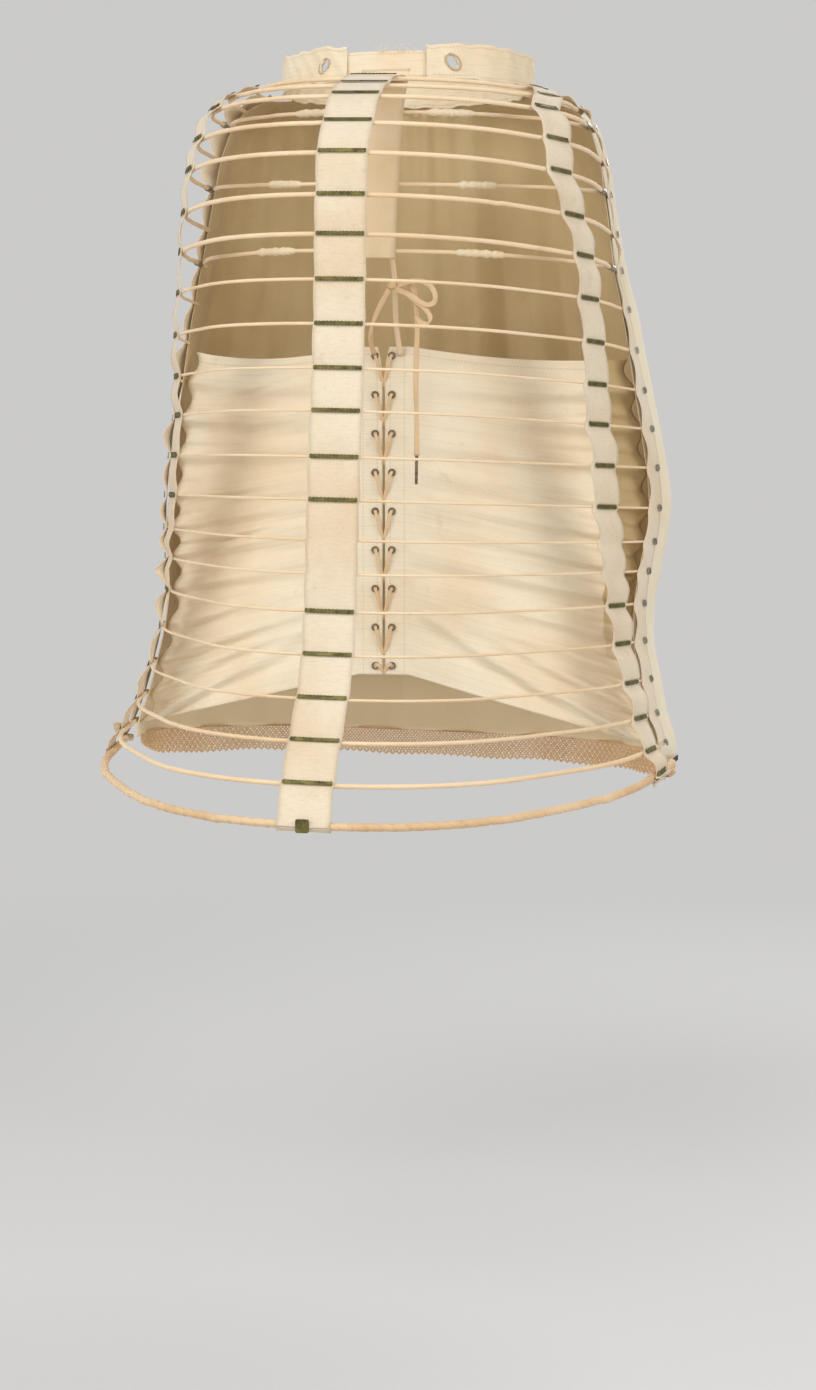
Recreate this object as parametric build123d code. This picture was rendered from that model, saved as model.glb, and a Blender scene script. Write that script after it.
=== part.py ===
from build123d import *
import os
from math import cos, pi, sin, tan

os.makedirs("parts", exist_ok=True)

# Fits: cloth to wire, cloth to cloth and metal to cloth
SEAT_GAP = 0.35
SURFACE_TOLERANCE = 0.01
CUT_OVERRUN = 5.0

# Cage of covered wire hoops, counted from the waist down, back towards -Y
HOOP_COUNT = 21
CAGE_DROP = 650.0
CAGE_DEPTH = 400.0
CAGE_HALF_WIDTH = 255.0
END_REACH = 60.0
END_RISE = 31.0
TILT_SHARE = 0.0276
HOOP_DROP_SHARES = (0.034, 0.051, 0.072, 0.112, 0.154, 0.208, 0.259, 0.317, 0.374, 0.431, 0.486,
                    0.545, 0.600, 0.651, 0.694, 0.742, 0.797, 0.851, 0.902, 0.952, 1.000)
HOOP_DEPTH_SHARES = (0.363, 0.450, 0.533, 0.603, 0.655, 0.667, 0.675, 0.683, 0.690, 0.700, 0.717,
                     0.733, 0.745, 0.757, 0.765, 0.775, 0.795, 0.843, 0.905, 0.965, 1.000)
HOOP_WIDTH_SHARES = (0.537, 0.620, 0.667, 0.706, 0.725, 0.749, 0.769, 0.800, 0.831, 0.863, 0.894,
                     0.914, 0.925, 0.914, 0.898, 0.886, 0.894, 0.918, 0.941, 0.973, 1.000)
HOOP_END_SHARES = (0.50, 0.43, 0.37, 0.33, 0.30, 0.27, 0.23, 0.20, 0.17, 0.17, 0.17,
                   0.20, 0.13, -0.07, -0.23, -0.37, -0.57, -0.67, -0.80, -0.90, -0.93)
HOOP_RISE_SHARES = (0.13, 0.13, 0.03, -0.13, -0.19, -0.23, -0.23, -0.16, -0.16, -0.13, -0.10,
                    0.00, -0.03, 0.06, 0.10, 0.16, 0.23, 0.26, 0.35, 0.55, 1.00)
BACK_FLAT_SHARES = (0.50, 0.50, 0.50, 0.473, 0.42, 0.34, 0.313, 0.315, 0.345, 0.40, 0.46)
FLANK_WIDTH_SHARES = (0.99, 1.00, 1.00, 0.97, 0.923, 0.86, 0.847, 0.85, 0.87, 0.90, 0.94)
FLANK_REACH_SHARES = (0.50, 0.50, 0.50, 0.473, 0.427, 0.36, 0.347, 0.345, 0.355, 0.385, 0.44)
BEND_SHARE = 0.48

# Wire with its cover: hip, seat, thigh, knee and the three foot hoops
HIP_WIRE = 4.0
SEAT_WIRE = 2.9
THIGH_WIRE = 2.3
KNEE_WIRE = 2.6
CALF_WIRE = 3.5
SHIN_WIRE = 4.2
FOOT_WIRE = 6.8
WIRES = [HIP_WIRE] * 7 + [SEAT_WIRE] * 2 + [THIGH_WIRE] * 6 + [KNEE_WIRE] * 3 + [CALF_WIRE, SHIN_WIRE, FOOT_WIRE]

# Bare steel at the right end of the lowest hoop
STEEL_LENGTH = 26.0
STEEL_WIDTH = 5.0
STEEL_THICK = 0.8
COLLAR_LENGTH = 5.0
COLLAR_WALL = 0.7

# Inner hoops, with their bound joins and end sleeves
INNER_WIRE = 3.5
INNER_HOSTS = (2, 4, 6)
INNER_REACH = 145.0
INNER_REACH_SHARES = (0.76, 0.90, 1.00)
INNER_SAG = 9.0
INNER_SAG_SHARES = (0.0, 1.0, 0.0)
INNER_FLAT_SHARE = 0.44
INNER_FLANK_SHARE = 0.90
INNER_TURN_SHARE = 0.42
JOIN_SPREAD = 95.0
JOIN_SPREAD_SHARES = (0.65, 0.94, 1.00)
JOIN_LENGTH = 38.0
JOIN_WALL = 1.5
SLEEVE_LENGTH = 18.0
SLEEVE_WALL = 0.6
SLEEVE_INSET = 40.0

# Waistband: oval round the waist, two back flaps with a buttonhole each
WAIST_HALF_WIDTH = 114.5
WAIST_HALF_DEPTH = 94.5
BAND_HEIGHT = 30.0
BAND_THICK = 2.4
BAND_EDGE_RADIUS = 0.8
FLAP_EDGE = 36.0
FLAP_LAP = 14.0
INSERT_THICK = 1.6
INSERT_DIP = 5.0
BUTTONHOLE_OFFSET = 58.0
BUTTONHOLE_WIDTH = 10.5
BUTTONHOLE_HEIGHT = 12.5

# Tapes over the hoops
TAPE_THICK = 1.0
BACK_TAPE_WIDTH = 44.0
INNER_TAPE_WIDTH = 40.0
INNER_TAPE_TAIL = 6.0
SIDE_TAPE_WIDTH = 40.0
SIDE_TAPE_SLACK = 1.6
SIDE_TAPE_SWAY = 3.0
SIDE_TAPE_INSET = 105.0
SIDE_INSET_SHARES = (0.78, 1.43, 1.62, 1.30, 1.165, 1.095, 1.04, 0.72, 0.54, 0.52, 0.60)
EDGE_TAPE_WIDTH = 26.0
EDGE_TAPE_INSET = 2.0
EDGE_TAPE_SLACK = 0.8
TAPE_FOOT = 5.0
SEAM_LAP = 10.0

# Clips and rivets
CLIP_LENGTH = 41.0
SIDE_CLIP_LENGTH = 30.0
CLIP_HEIGHT = 3.2
CLIP_THICK = 0.7
LOOSE_HOOPS = (13, 14)
SQUARE_CLIP = 11.0
SQUARE_CLIP_THICK = 1.4
RIVET_RADIUS = 3.2
RIVET_BORE = 1.3
RIVET_HEIGHT = 1.0
RIVET_INSET = 8.0

# Front apron and its lace
APRON_THICK = 0.9
APRON_LAP = 22.0
APRON_FRONT = 130.0
APRON_FRONT_SHARES = (0.78, 0.84, 0.89, 0.93, 0.96, 0.98, 1.00, 1.00, 1.00, 1.00, 1.00)
APRON_CORNER_SHARE = 0.62
APRON_SWELL_SHARE = 1.05
APRON_TURN_SHARE = 0.36
APRON_COLUMNS = 54
APRON_FOLD = 7.0
APRON_FOLD_COUNT = 9
APRON_FOLD_FADE_SHARE = 0.12
APRON_FOLD_SHARES = (0.0, 0.10, 0.35, 0.70, 0.92, 1.00, 1.00, 0.95, 0.80, 0.50, 0.20)
APRON_HOOPS = range(HOOP_COUNT - 1)
APRON_TOP_ANGLE_SHARE = 0.07
HEM_DROP = 14.0
LACE_THICK = 1.2
LACE_HEIGHT = 26.0
SCALLOP_PITCH = 17.0
LACE_HOLE = 6.6
NOTCH_WIDTH = 7.0

# Laced panels, their eyelets and the cord
PANEL_THICK = 0.9
PANEL_SEAT = 0.95
PANEL_TOP_HOOP = 8.2
PANEL_FOOT_HOOP = 19.0
PANEL_INSET = 12.0
PANEL_REACH = 105.0
PANEL_TOP = 253.0
PANEL_FOOT = 547.0
PANEL_BULGE = 12.0
PANEL_FOLD = 3.2
PANEL_COLUMNS = 9
PANEL_GAP = 2.4
STRIP_WIDTH = 22.0
EYELET_COUNT = 9
EYELET_INSET = 6.5
EYELET_MARGIN = 8.0
EYELET_RADIUS = 3.4
EYELET_BORE = 2.1
EYELET_HEIGHT = 0.9
CORD_WIDTH = 1.5
CORD_STEP = 1.9
CORD_SPACE_SHARE = 0.6

# Hanging tape, bow and tail of the lacing
HANGER_WIDTH = 7.0
HANGER_OFFSET = 16.0
HANGER_THICK = 0.9
KNOT_RADIUS = 4.0
TAIL_WIDTH = 2.2
TAG_LENGTH = 25.0
TAG_RADIUS = 1.5
KNOT_SHARE = 0.29
KNOT_FLAT_SHARES = (1.0, 0.7, 0.85)
TAIL_STEPS = ((4.1, -0.4, 2.2), (15.0, -2.6, 4.0), (22.0, -4.6, -7.0), (23.5, -6.1, -37.0),
              (21.5, -5.6, -83.0), (23.0, -5.6, -123.0), (22.6, -5.6, -150.0))
LOOP_STEPS = ((4.6, -2.0, -1.0), (18.0, -9.6, 4.0), (36.0, -12.6, 1.0), (43.0, -12.6, -15.0), (32.0, -11.6, -20.0),
              (16.0, -9.1, -7.5), (4.0, -3.2, -4.2))
LEAD_STEPS = ((-3.1, -1.2, -3.3), (-11.0, -0.6, -17.0), (-21.0, 7.4, -33.0))
LEAD_ENTRY = ((-1.8, -11.0, 9.0), (0.0, -1.9, 1.6))


# Straight blending between evenly spaced shares along the cage
def blend(shares, level):
    spot = level / (HOOP_COUNT - 1) * (len(shares) - 1)
    low = min(int(spot), len(shares) - 2)
    return shares[low] + (shares[low + 1] - shares[low]) * (spot - low)


# Bend radius at each corner of a polygon of runs
def bend_radii(points, share):
    radii = []
    for before, corner, after in zip(points, points[1:], points[2:]):
        first = corner - before
        second = after - corner
        turn = first.get_angle(second) * pi / 180
        radii.append(share * min(first.length, second.length) / tan(max(turn, TILT_SHARE) / 2))
    return radii


def bent_line(points, share=BEND_SHARE):
    spots = [Vector(p) for p in points]
    return FilletPolyline(*spots, radius=bend_radii(spots, share))


def tube(path, radius):
    return sweep(Plane(origin=path @ 0, z_dir=path % 0) * Circle(radius), path=path)


def sleeve(path, bore, wall):
    ring = Circle(bore + wall) - Circle(bore)
    return sweep(Plane(origin=path @ 0, z_dir=path % 0) * ring, path=path)


# Short stretch through three places on a hoop, straight where the hoop is straight
def stretch(spots):
    first, middle, last = spots
    bow = (middle - (first + last) / 2).length
    return ThreePointArc(first, middle, last) if bow > SURFACE_TOLERANCE else Line(first, last)


# Plan of one hoop: depth at the back, half width and reach of its ends
def hoop_plan(level):
    return (CAGE_DEPTH * HOOP_DEPTH_SHARES[level], CAGE_HALF_WIDTH * HOOP_WIDTH_SHARES[level],
            END_REACH * HOOP_END_SHARES[level])


def hoop_height(level, x, y):
    depth, width, end = hoop_plan(level)
    rise = END_RISE * HOOP_RISE_SHARES[level]
    return rise * (y + depth) / (end + depth) - CAGE_DROP * HOOP_DROP_SHARES[level] - TILT_SHARE * x


def hoop_line(level):
    depth, width, end = hoop_plan(level)
    flank = end - blend(FLANK_REACH_SHARES, level) * (end + depth)
    half = [(blend(BACK_FLAT_SHARES, level) * width, -depth), (blend(FLANK_WIDTH_SHARES, level) * width, flank),
            (width, end)]
    corners = [(-x, y) for x, y in reversed(half)] + half
    return bent_line([(x, y, hoop_height(level, x, y)) for x, y in corners])


LINES = [hoop_line(level) for level in range(HOOP_COUNT)]


# Places along a hoop: distance from its middle, its left end or its right end
def along(line, distance, start):
    share = {"left": distance, "middle": line.length / 2 + distance, "right": line.length - distance}[start]
    return share / line.length


def outward(line, share, down=Vector(0, 0, -1)):
    normal = (line % share).cross(down)
    spot = line @ share
    away = Vector(spot.X, spot.Y + INNER_REACH / 2, 0)
    return normal.normalized() if normal.dot(away) > 0 else -normal.normalized()


# Thin cloth through a grid of points, thickened towards one side
def cloth(rows, thick, towards):
    last_row = len(rows) - 1
    last_spot = len(rows[0]) - 1
    normals = []
    for i, row in enumerate(rows):
        line = []
        for j in range(last_spot + 1):
            across = row[min(j + 1, last_spot)] - row[max(j - 1, 0)]
            down = rows[min(i + 1, last_row)][j] - rows[max(i - 1, 0)][j]
            line.append(across.cross(down).normalized())
        normals.append(line)
    sign = 1 if normals[last_row // 2][last_spot // 2].dot(Vector(towards)) > 0 else -1
    far = [[spot + normal * (sign * thick) for spot, normal in zip(row, line)] for row, line in zip(rows, normals)]
    corners = []
    for i in range(last_row):
        for j in range(last_spot):
            for grid in (rows, far):
                corners.append((grid[i][j], grid[i][j + 1], grid[i + 1][j + 1], grid[i + 1][j]))
    for j in range(last_spot):
        for i in (0, last_row):
            corners.append((rows[i][j], rows[i][j + 1], far[i][j + 1], far[i][j]))
    for i in range(last_row):
        for j in (0, last_spot):
            corners.append((rows[i][j], rows[i + 1][j], far[i + 1][j], far[i][j]))
    faces = []
    for a, b, c, d in corners:
        for triangle in ((a, b, c), (a, c, d)):
            faces.append(Face(Wire.make_polygon(triangle, close=True)))
    return Solid(Shell(faces))


# Rows of points where a tape lies on the outside of its hoops
def tape_rows(lines, wires, places, slack, sway=0.0):
    spots = [[line @ share for share in shares] for line, shares in zip(lines, places)]
    rows = []
    for level, (line, shares, wire) in enumerate(zip(lines, places, wires)):
        above = spots[max(level - 1, 0)]
        below = spots[min(level + 1, len(lines) - 1)]
        row = []
        for share, spot, upper, lower in zip(shares, spots[level], above, below):
            normal = outward(line, share, (lower - upper).normalized())
            row.append(spot + normal * (wire / 2 + SEAT_GAP))
        rows.append(row)
    full = []
    for level, row in enumerate(rows):
        full.append(row)
        if level + 1 < len(rows):
            lean = sway if level % 2 else -sway
            side = (row[-1] - row[0]).normalized() * lean
            middle = [(a + b) / 2 for a, b in zip(row, rows[level + 1])]
            normals = [outward(lines[level], s) for s in places[level]]
            full.append([m + n * slack + side for m, n in zip(middle, normals)])
    return full


# Foot of a tape: level with the lowest hoop, then past it
def foot_rows(shares):
    line = LINES[-1]
    level_row = [line @ share + outward(line, share) * (FOOT_WIRE / 2 + SEAT_GAP) for share in shares]
    return [level_row, [spot + Vector(0, 0, -FOOT_WIRE / 2 - TAPE_FOOT) for spot in level_row]]


def spread(width, count=3):
    return [width * (step / (count - 1) - 0.5) for step in range(count)]


# Point on the waist oval, some way outside the band's inner face
def waist_spot(angle, out, z):
    return Vector((WAIST_HALF_WIDTH + out) * cos(angle), (WAIST_HALF_DEPTH + out) * sin(angle), z)


# Bar that grips a hoop through the tape
def clip(line, centre, start, length, wire, down):
    shares = [along(line, centre + shift, start) for shift in spread(length, 3)]
    lift = wire / 2 + SEAT_GAP + TAPE_THICK + 2 * SEAT_GAP + CLIP_THICK / 2
    normals = [outward(line, share, down) for share in shares]
    ends = [line @ share + normal * lift for share, normal in zip(shares, normals)]
    arc = stretch(ends)
    face = Plane(origin=arc @ 0, x_dir=normals[0], z_dir=arc % 0) * RectangleRounded(
        CLIP_THICK, CLIP_HEIGHT, CLIP_THICK / 4)
    return sweep(face, path=arc)


def down_at(lines, level, centre, start):
    upper = lines[max(level - 1, 0)]
    lower = lines[min(level + 1, len(lines) - 1)]
    return (lower @ along(lower, centre, start) - upper @ along(upper, centre, start)).normalized()


# Place on the inside of a hoop, at right angles to the slope of the cage there
def inside_spot(level, distance, start, depth):
    line = LINES[level]
    share = along(line, distance, start)
    return line @ share - outward(line, share, down_at(LINES, level, distance, start)) * depth


def ring(spot, normal, radius, bore, height):
    return extrude(Plane(origin=spot, z_dir=normal) * (Circle(radius) - Circle(bore)), amount=height)


parts = {}

# Outer hoops
for level, (line, wire) in enumerate(zip(LINES, WIRES)):
    parts[f"hoop_{level + 1:02d}"] = tube(line, wire / 2)

# Worn right end of the lowest hoop: a bare steel strip and a dark collar
foot = LINES[-1]
tip = foot @ 1
tip_plane = Plane(origin=tip + (foot % 1) * SEAT_GAP, x_dir=outward(foot, 1), z_dir=foot % 1)
parts["foot_steel"] = extrude(tip_plane * RectangleRounded(STEEL_THICK, STEEL_WIDTH, STEEL_THICK / 4),
                              amount=STEEL_LENGTH)
collar_line = stretch([foot @ along(foot, STEEL_LENGTH / 2 + COLLAR_LENGTH * step / 2, "right")
                       for step in range(3)])
parts["foot_collar"] = sleeve(collar_line, FOOT_WIRE / 2 + SEAT_GAP, COLLAR_WALL)

# Inner hoops, nearer to the body, which meet the sleeves on their host hoops
inner_lines = []
joins = []
sleeves = []
for turn, host in enumerate(INNER_HOSTS):
    outer = LINES[host]
    reach = INNER_REACH * INNER_REACH_SHARES[turn]
    sag = INNER_SAG * INNER_SAG_SHARES[turn]
    step_in = HIP_WIRE / 2 + SEAT_GAP + SLEEVE_WALL + SEAT_GAP + INNER_WIRE / 2
    share = along(outer, SLEEVE_INSET, "right")
    end = outer @ share - outward(outer, share) * step_in
    half = [(INNER_FLAT_SHARE * end.X, -reach), (INNER_FLANK_SHARE * end.X, end.Y - INNER_TURN_SHARE * (end.Y + reach)),
            (end.X, end.Y)]
    corners = [(-x, y) for x, y in reversed(half)] + half
    line = bent_line([(x, y, hoop_height(host, x, y) - sag * (end.Y - y) / (end.Y + reach)) for x, y in corners])
    inner_lines.append(line)
    parts[f"inner_hoop_{turn + 1}"] = tube(line, INNER_WIRE / 2)
    for side in (-1, 1):
        middle = side * JOIN_SPREAD * JOIN_SPREAD_SHARES[turn]
        spots = [line @ along(line, middle + shift, "middle") for shift in spread(JOIN_LENGTH, 3)]
        joins.append(sleeve(stretch(spots), INNER_WIRE / 2 + SEAT_GAP, JOIN_WALL))
    for start in ("left", "right"):
        spots = [outer @ along(outer, SLEEVE_INSET + shift, start) for shift in spread(SLEEVE_LENGTH, 3)]
        sleeves.append(sleeve(stretch(spots), HIP_WIRE / 2 + SEAT_GAP, SLEEVE_WALL))
parts["hoop_joins"] = Compound(joins)
parts["hoop_sleeves"] = Compound(sleeves)

# Waistband with two flaps and their buttonholes
outline = Ellipse(WAIST_HALF_WIDTH + BAND_THICK, WAIST_HALF_DEPTH + BAND_THICK)
band = extrude(outline - Ellipse(WAIST_HALF_WIDTH, WAIST_HALF_DEPTH), amount=BAND_HEIGHT / 2, both=True)
band = fillet(band.edges(), BAND_EDGE_RADIUS)
band -= Pos(0, -WAIST_HALF_DEPTH, 0) * Box(2 * FLAP_EDGE, WAIST_HALF_DEPTH, 2 * BAND_HEIGHT)
for side in (-1, 1):
    hole = Plane(origin=(side * BUTTONHOLE_OFFSET, 0, 0), z_dir=(0, -1, 0)) * Ellipse(
        BUTTONHOLE_WIDTH / 2, BUTTONHOLE_HEIGHT / 2)
    band -= extrude(hole, amount=WAIST_HALF_DEPTH + BAND_THICK + CUT_OVERRUN)
parts["waistband"] = band

# Insert behind the gap between the flaps, on the body side
seat = -SEAT_GAP
insert = extrude(Ellipse(WAIST_HALF_WIDTH + seat, WAIST_HALF_DEPTH + seat) -
                 Ellipse(WAIST_HALF_WIDTH + seat - INSERT_THICK, WAIST_HALF_DEPTH + seat - INSERT_THICK),
                 amount=(BAND_HEIGHT - INSERT_DIP) / 2, both=True)
keep = Pos(0, -WAIST_HALF_DEPTH, 0) * Box(2 * (FLAP_EDGE + FLAP_LAP), WAIST_HALF_DEPTH, 2 * BAND_HEIGHT)
parts["waistband_insert"] = Pos(0, 0, -INSERT_DIP / 2) * (insert & keep)

# Centre back tape, from the insert over every hoop and under the lowest one
back_places = [[along(line, shift, "middle") for shift in spread(BACK_TAPE_WIDTH, 5)] for line in LINES]
rows = tape_rows(LINES, WIRES, back_places, 0.0)
insert_angles = [-pi / 2 + shift / WAIST_HALF_WIDTH for shift in spread(BACK_TAPE_WIDTH, 5)]
for height in (-BAND_HEIGHT / 2, -BAND_HEIGHT / 2 + SEAM_LAP):
    rows.insert(0, [waist_spot(angle, 0.0, height) for angle in insert_angles])
rows += foot_rows(back_places[-1])
parts["back_tape"] = cloth(rows, TAPE_THICK, (0, -1, 0))

# Inner back tape, from behind the insert over the inner hoops
inner_wires = [INNER_WIRE] * len(inner_lines)
inner_places = [[along(line, shift, "middle") for shift in spread(INNER_TAPE_WIDTH)] for line in inner_lines]
rows = tape_rows(inner_lines, inner_wires, inner_places, 0.0)
behind = -SEAT_GAP - INSERT_THICK - SEAT_GAP - TAPE_THICK
inner_angles = [-pi / 2 + shift / WAIST_HALF_WIDTH for shift in spread(INNER_TAPE_WIDTH)]
for height in (-BAND_HEIGHT / 2, -BAND_HEIGHT / 2 + SEAM_LAP):
    rows.insert(0, [waist_spot(angle, behind, height) for angle in inner_angles])
rows.append([spot + Vector(0, 0, -INNER_TAPE_TAIL) for spot in rows[-1]])
parts["inner_tape"] = cloth(rows, TAPE_THICK, (0, -1, 0))

# Side tapes and edge tapes
for side, start in ((-1, "left"), (1, "right")):
    centres = [SIDE_TAPE_INSET * blend(SIDE_INSET_SHARES, level) for level in range(HOOP_COUNT)]
    places = [[along(line, centre + shift, start) for shift in spread(SIDE_TAPE_WIDTH)]
              for line, centre in zip(LINES, centres)]
    rows = tape_rows(LINES, WIRES, places, SIDE_TAPE_SLACK, SIDE_TAPE_SWAY)
    rows += foot_rows(places[-1])
    parts[f"side_tape_{start}"] = cloth(rows, TAPE_THICK, (side, 0, 0))
    middle = EDGE_TAPE_INSET + EDGE_TAPE_WIDTH / 2
    edge_lines = LINES[:-1] if side > 0 else LINES
    places = [[along(line, middle + shift, start) for shift in spread(EDGE_TAPE_WIDTH)] for line in edge_lines]
    rows = tape_rows(edge_lines, WIRES, places, EDGE_TAPE_SLACK)
    parts[f"edge_tape_{start}"] = cloth(rows, TAPE_THICK, (side, 0, 0))
    bars = []
    rivets = []
    for level, (line, wire) in enumerate(zip(LINES, WIRES)):
        if level not in LOOSE_HOOPS:
            bars.append(clip(line, centres[level], start, SIDE_CLIP_LENGTH, wire,
                             down_at(LINES, level, centres[level], start)))
        share = along(line, RIVET_INSET, start)
        normal = outward(line, share, down_at(LINES, level, RIVET_INSET, start))
        spot = line @ share + normal * (wire / 2 + SEAT_GAP + TAPE_THICK + EDGE_TAPE_SLACK)
        if level < len(edge_lines):
            rivets.append(ring(spot, normal, RIVET_RADIUS, RIVET_BORE, RIVET_HEIGHT))
    parts[f"side_clips_{start}"] = Compound(bars)
    parts[f"edge_rivets_{start}"] = Compound(rivets)

# Clips on the centre back tape
bars = []
for level, (line, wire) in enumerate(zip(LINES, WIRES)):
    if level not in LOOSE_HOOPS and level + 1 < HOOP_COUNT:
        bars.append(clip(line, 0.0, "middle", CLIP_LENGTH, wire, down_at(LINES, level, 0.0, "middle")))
parts["back_clips"] = Compound(bars)
normal = outward(foot, along(foot, 0.0, "middle"))
spot = foot @ along(foot, 0.0, "middle") + normal * (FOOT_WIRE / 2 + SEAT_GAP + TAPE_THICK + SEAT_GAP)
parts["foot_clip"] = extrude(Plane(origin=spot, x_dir=(1, 0, 0), z_dir=normal) * RectangleRounded(
    SQUARE_CLIP, SQUARE_CLIP, SQUARE_CLIP_THICK), amount=SQUARE_CLIP_THICK)


# Apron: plan line round the front, inside the hoop ends
def apron_line(level, inside, lower):
    right = inside_spot(level, 0.0, "right", inside)
    left = inside_spot(level, 0.0, "left", inside)
    front = APRON_FRONT * blend(APRON_FRONT_SHARES, level)
    tall = front - right.Y
    half = [(right.X, right.Y), (right.X * APRON_SWELL_SHARE, right.Y + APRON_TURN_SHARE * tall),
            (right.X * APRON_CORNER_SHARE, front)]
    corners = half + [(-x, y) for x, y in reversed(half)]
    base = (right.Z + left.Z) / 2 - lower
    return bent_line([(x, y, base - TILT_SHARE * x) for x, y in corners])


def apron_row(level, lower=0.0):
    inside = WIRES[level] / 2 + SEAT_GAP
    front = apron_line(level, inside, lower)
    laps = [APRON_LAP, APRON_LAP / 2]
    right = [inside_spot(level, lap, "right", inside) for lap in laps]
    left = [inside_spot(level, lap, "left", inside) for lap in laps]
    drop = Vector(0, 0, -lower)
    middle = []
    for step in range(APRON_COLUMNS + 1):
        share = step / APRON_COLUMNS
        fade = min(1, share / APRON_FOLD_FADE_SHARE, (1 - share) / APRON_FOLD_FADE_SHARE)
        fold = APRON_FOLD * blend(APRON_FOLD_SHARES, level) * fade * sin(2 * pi * APRON_FOLD_COUNT * share)
        middle.append(front @ share + (front % share).cross(Vector(0, 0, 1)).normalized() * fold)
    return [spot + drop for spot in right] + middle + [spot + drop for spot in reversed(left)]


apron_rows = [apron_row(level) for level in APRON_HOOPS] + [apron_row(APRON_HOOPS[-1], HEM_DROP)]
columns = len(apron_rows[0]) - 1
sweep_angle = pi * (1 - 2 * APRON_TOP_ANGLE_SHARE)
top_angles = [pi * APRON_TOP_ANGLE_SHARE + sweep_angle * step / columns for step in range(columns + 1)]
for height in (-BAND_HEIGHT / 2, -BAND_HEIGHT / 2 + SEAM_LAP):
    apron_rows.insert(0, [waist_spot(angle, BAND_THICK + 2 * SEAT_GAP + APRON_THICK, height) for angle in top_angles])
parts["apron"] = cloth(apron_rows, APRON_THICK, (0, -1, 0))

# Lace along the hem: a thin wall with a row of holes and a scalloped foot
hem_level = APRON_HOOPS[-1]
hem_inside = WIRES[hem_level] / 2 + SEAT_GAP + APRON_THICK / 2
hem = apron_line(hem_level, hem_inside, HEM_DROP + SEAT_GAP + LACE_HEIGHT / 2)
wall = sweep(Plane(origin=hem @ 0, x_dir=outward(hem, 0), z_dir=hem % 0) * Rectangle(LACE_THICK, LACE_HEIGHT),
             path=hem)
scallops = int(hem.length / SCALLOP_PITCH)
cutters = []
for step in range(scallops):
    for shift, radius, level in ((0.5, LACE_HOLE / 2, 0.0), (1.0, NOTCH_WIDTH / 2, -LACE_HEIGHT / 2)):
        share = (step + shift) / scallops
        if share < 1:
            spot = hem @ share + Vector(0, 0, level)
            bore = Plane(origin=spot, z_dir=outward(hem, share)) * Circle(radius)
            cutters.append(extrude(bore, amount=LACE_THICK + SEAT_GAP, both=True))
parts["hem_lace"] = wall - cutters


# Laced panel: from inside the apron's edge to the lacing, with folds between the hoops
def panel_side(level, side):
    low = min(int(level), HOOP_COUNT - 2)
    start = "right" if side > 0 else "left"
    spots = []
    for number in (low, low + 1):
        inside = WIRES[number] / 2 + SEAT_GAP + APRON_THICK + PANEL_SEAT
        spots.append(inside_spot(number, PANEL_INSET, start, inside))
    return spots[0] + (spots[1] - spots[0]) * (level - low)


def panel_rows(side):
    count = 2 * round(PANEL_FOOT_HOOP - PANEL_TOP_HOOP)
    rows = []
    for step in range(count + 1):
        share = step / count
        edge = panel_side(PANEL_TOP_HOOP + (PANEL_FOOT_HOOP - PANEL_TOP_HOOP) * share, side)
        seam = Vector(side * PANEL_GAP / 2, -PANEL_REACH, -PANEL_TOP - (PANEL_FOOT - PANEL_TOP) * share)
        strip = seam + Vector(side * STRIP_WIDTH, 0, 0)
        fold = PANEL_FOLD * (step % 2)
        row = []
        for column in range(PANEL_COLUMNS):
            across = column / (PANEL_COLUMNS - 1)
            hump = sin(pi * across)
            swell = PANEL_BULGE * hump + fold * hump * (1 - across)
            row.append(edge + (strip - edge) * across + Vector(0, -swell, 0))
        rows.append(row + [seam])
    return rows


# Eyelets in the panels, and the cord laced through them
eyelet_spots = {}
for side, start in ((-1, "left"), (1, "right")):
    rows = panel_rows(side)
    panel = cloth(rows, PANEL_THICK, (0, 1, 0))
    facing = Vector(0, -1, 0)
    spots = []
    rings = []
    for step in range(EYELET_COUNT):
        run = PANEL_FOOT - PANEL_TOP - 2 * EYELET_MARGIN
        height = -PANEL_TOP - EYELET_MARGIN - run * step / (EYELET_COUNT - 1)
        spot = Vector(side * (PANEL_GAP / 2 + EYELET_INSET), -PANEL_REACH, height)
        spots.append(spot)
        rings.append(ring(spot + facing * SEAT_GAP, facing, EYELET_RADIUS, EYELET_BORE, EYELET_HEIGHT))
        bore = Plane(origin=spot, z_dir=facing) * Circle(EYELET_BORE)
        panel -= extrude(bore, amount=CUT_OVERRUN, both=True)
    eyelet_spots[side] = spots
    parts[f"panel_{start}"] = panel
    parts[f"panel_eyelets_{start}"] = Compound(rings)

strands = []
for step in range(EYELET_COUNT - 1):
    for layer, side in ((1, -1), (2, 1)):
        begin = eyelet_spots[side][step] - Vector(0, 0, CORD_WIDTH * CORD_SPACE_SHARE)
        finish = eyelet_spots[-side][step + 1] + Vector(0, 0, CORD_WIDTH * CORD_SPACE_SHARE)
        lift = Vector(0, -EYELET_HEIGHT - CORD_STEP * layer, 0)
        strands.append(tube(bent_line([begin, begin + lift, finish + lift, finish]), CORD_WIDTH / 2))
parts["lacing"] = Compound(strands)

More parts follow.
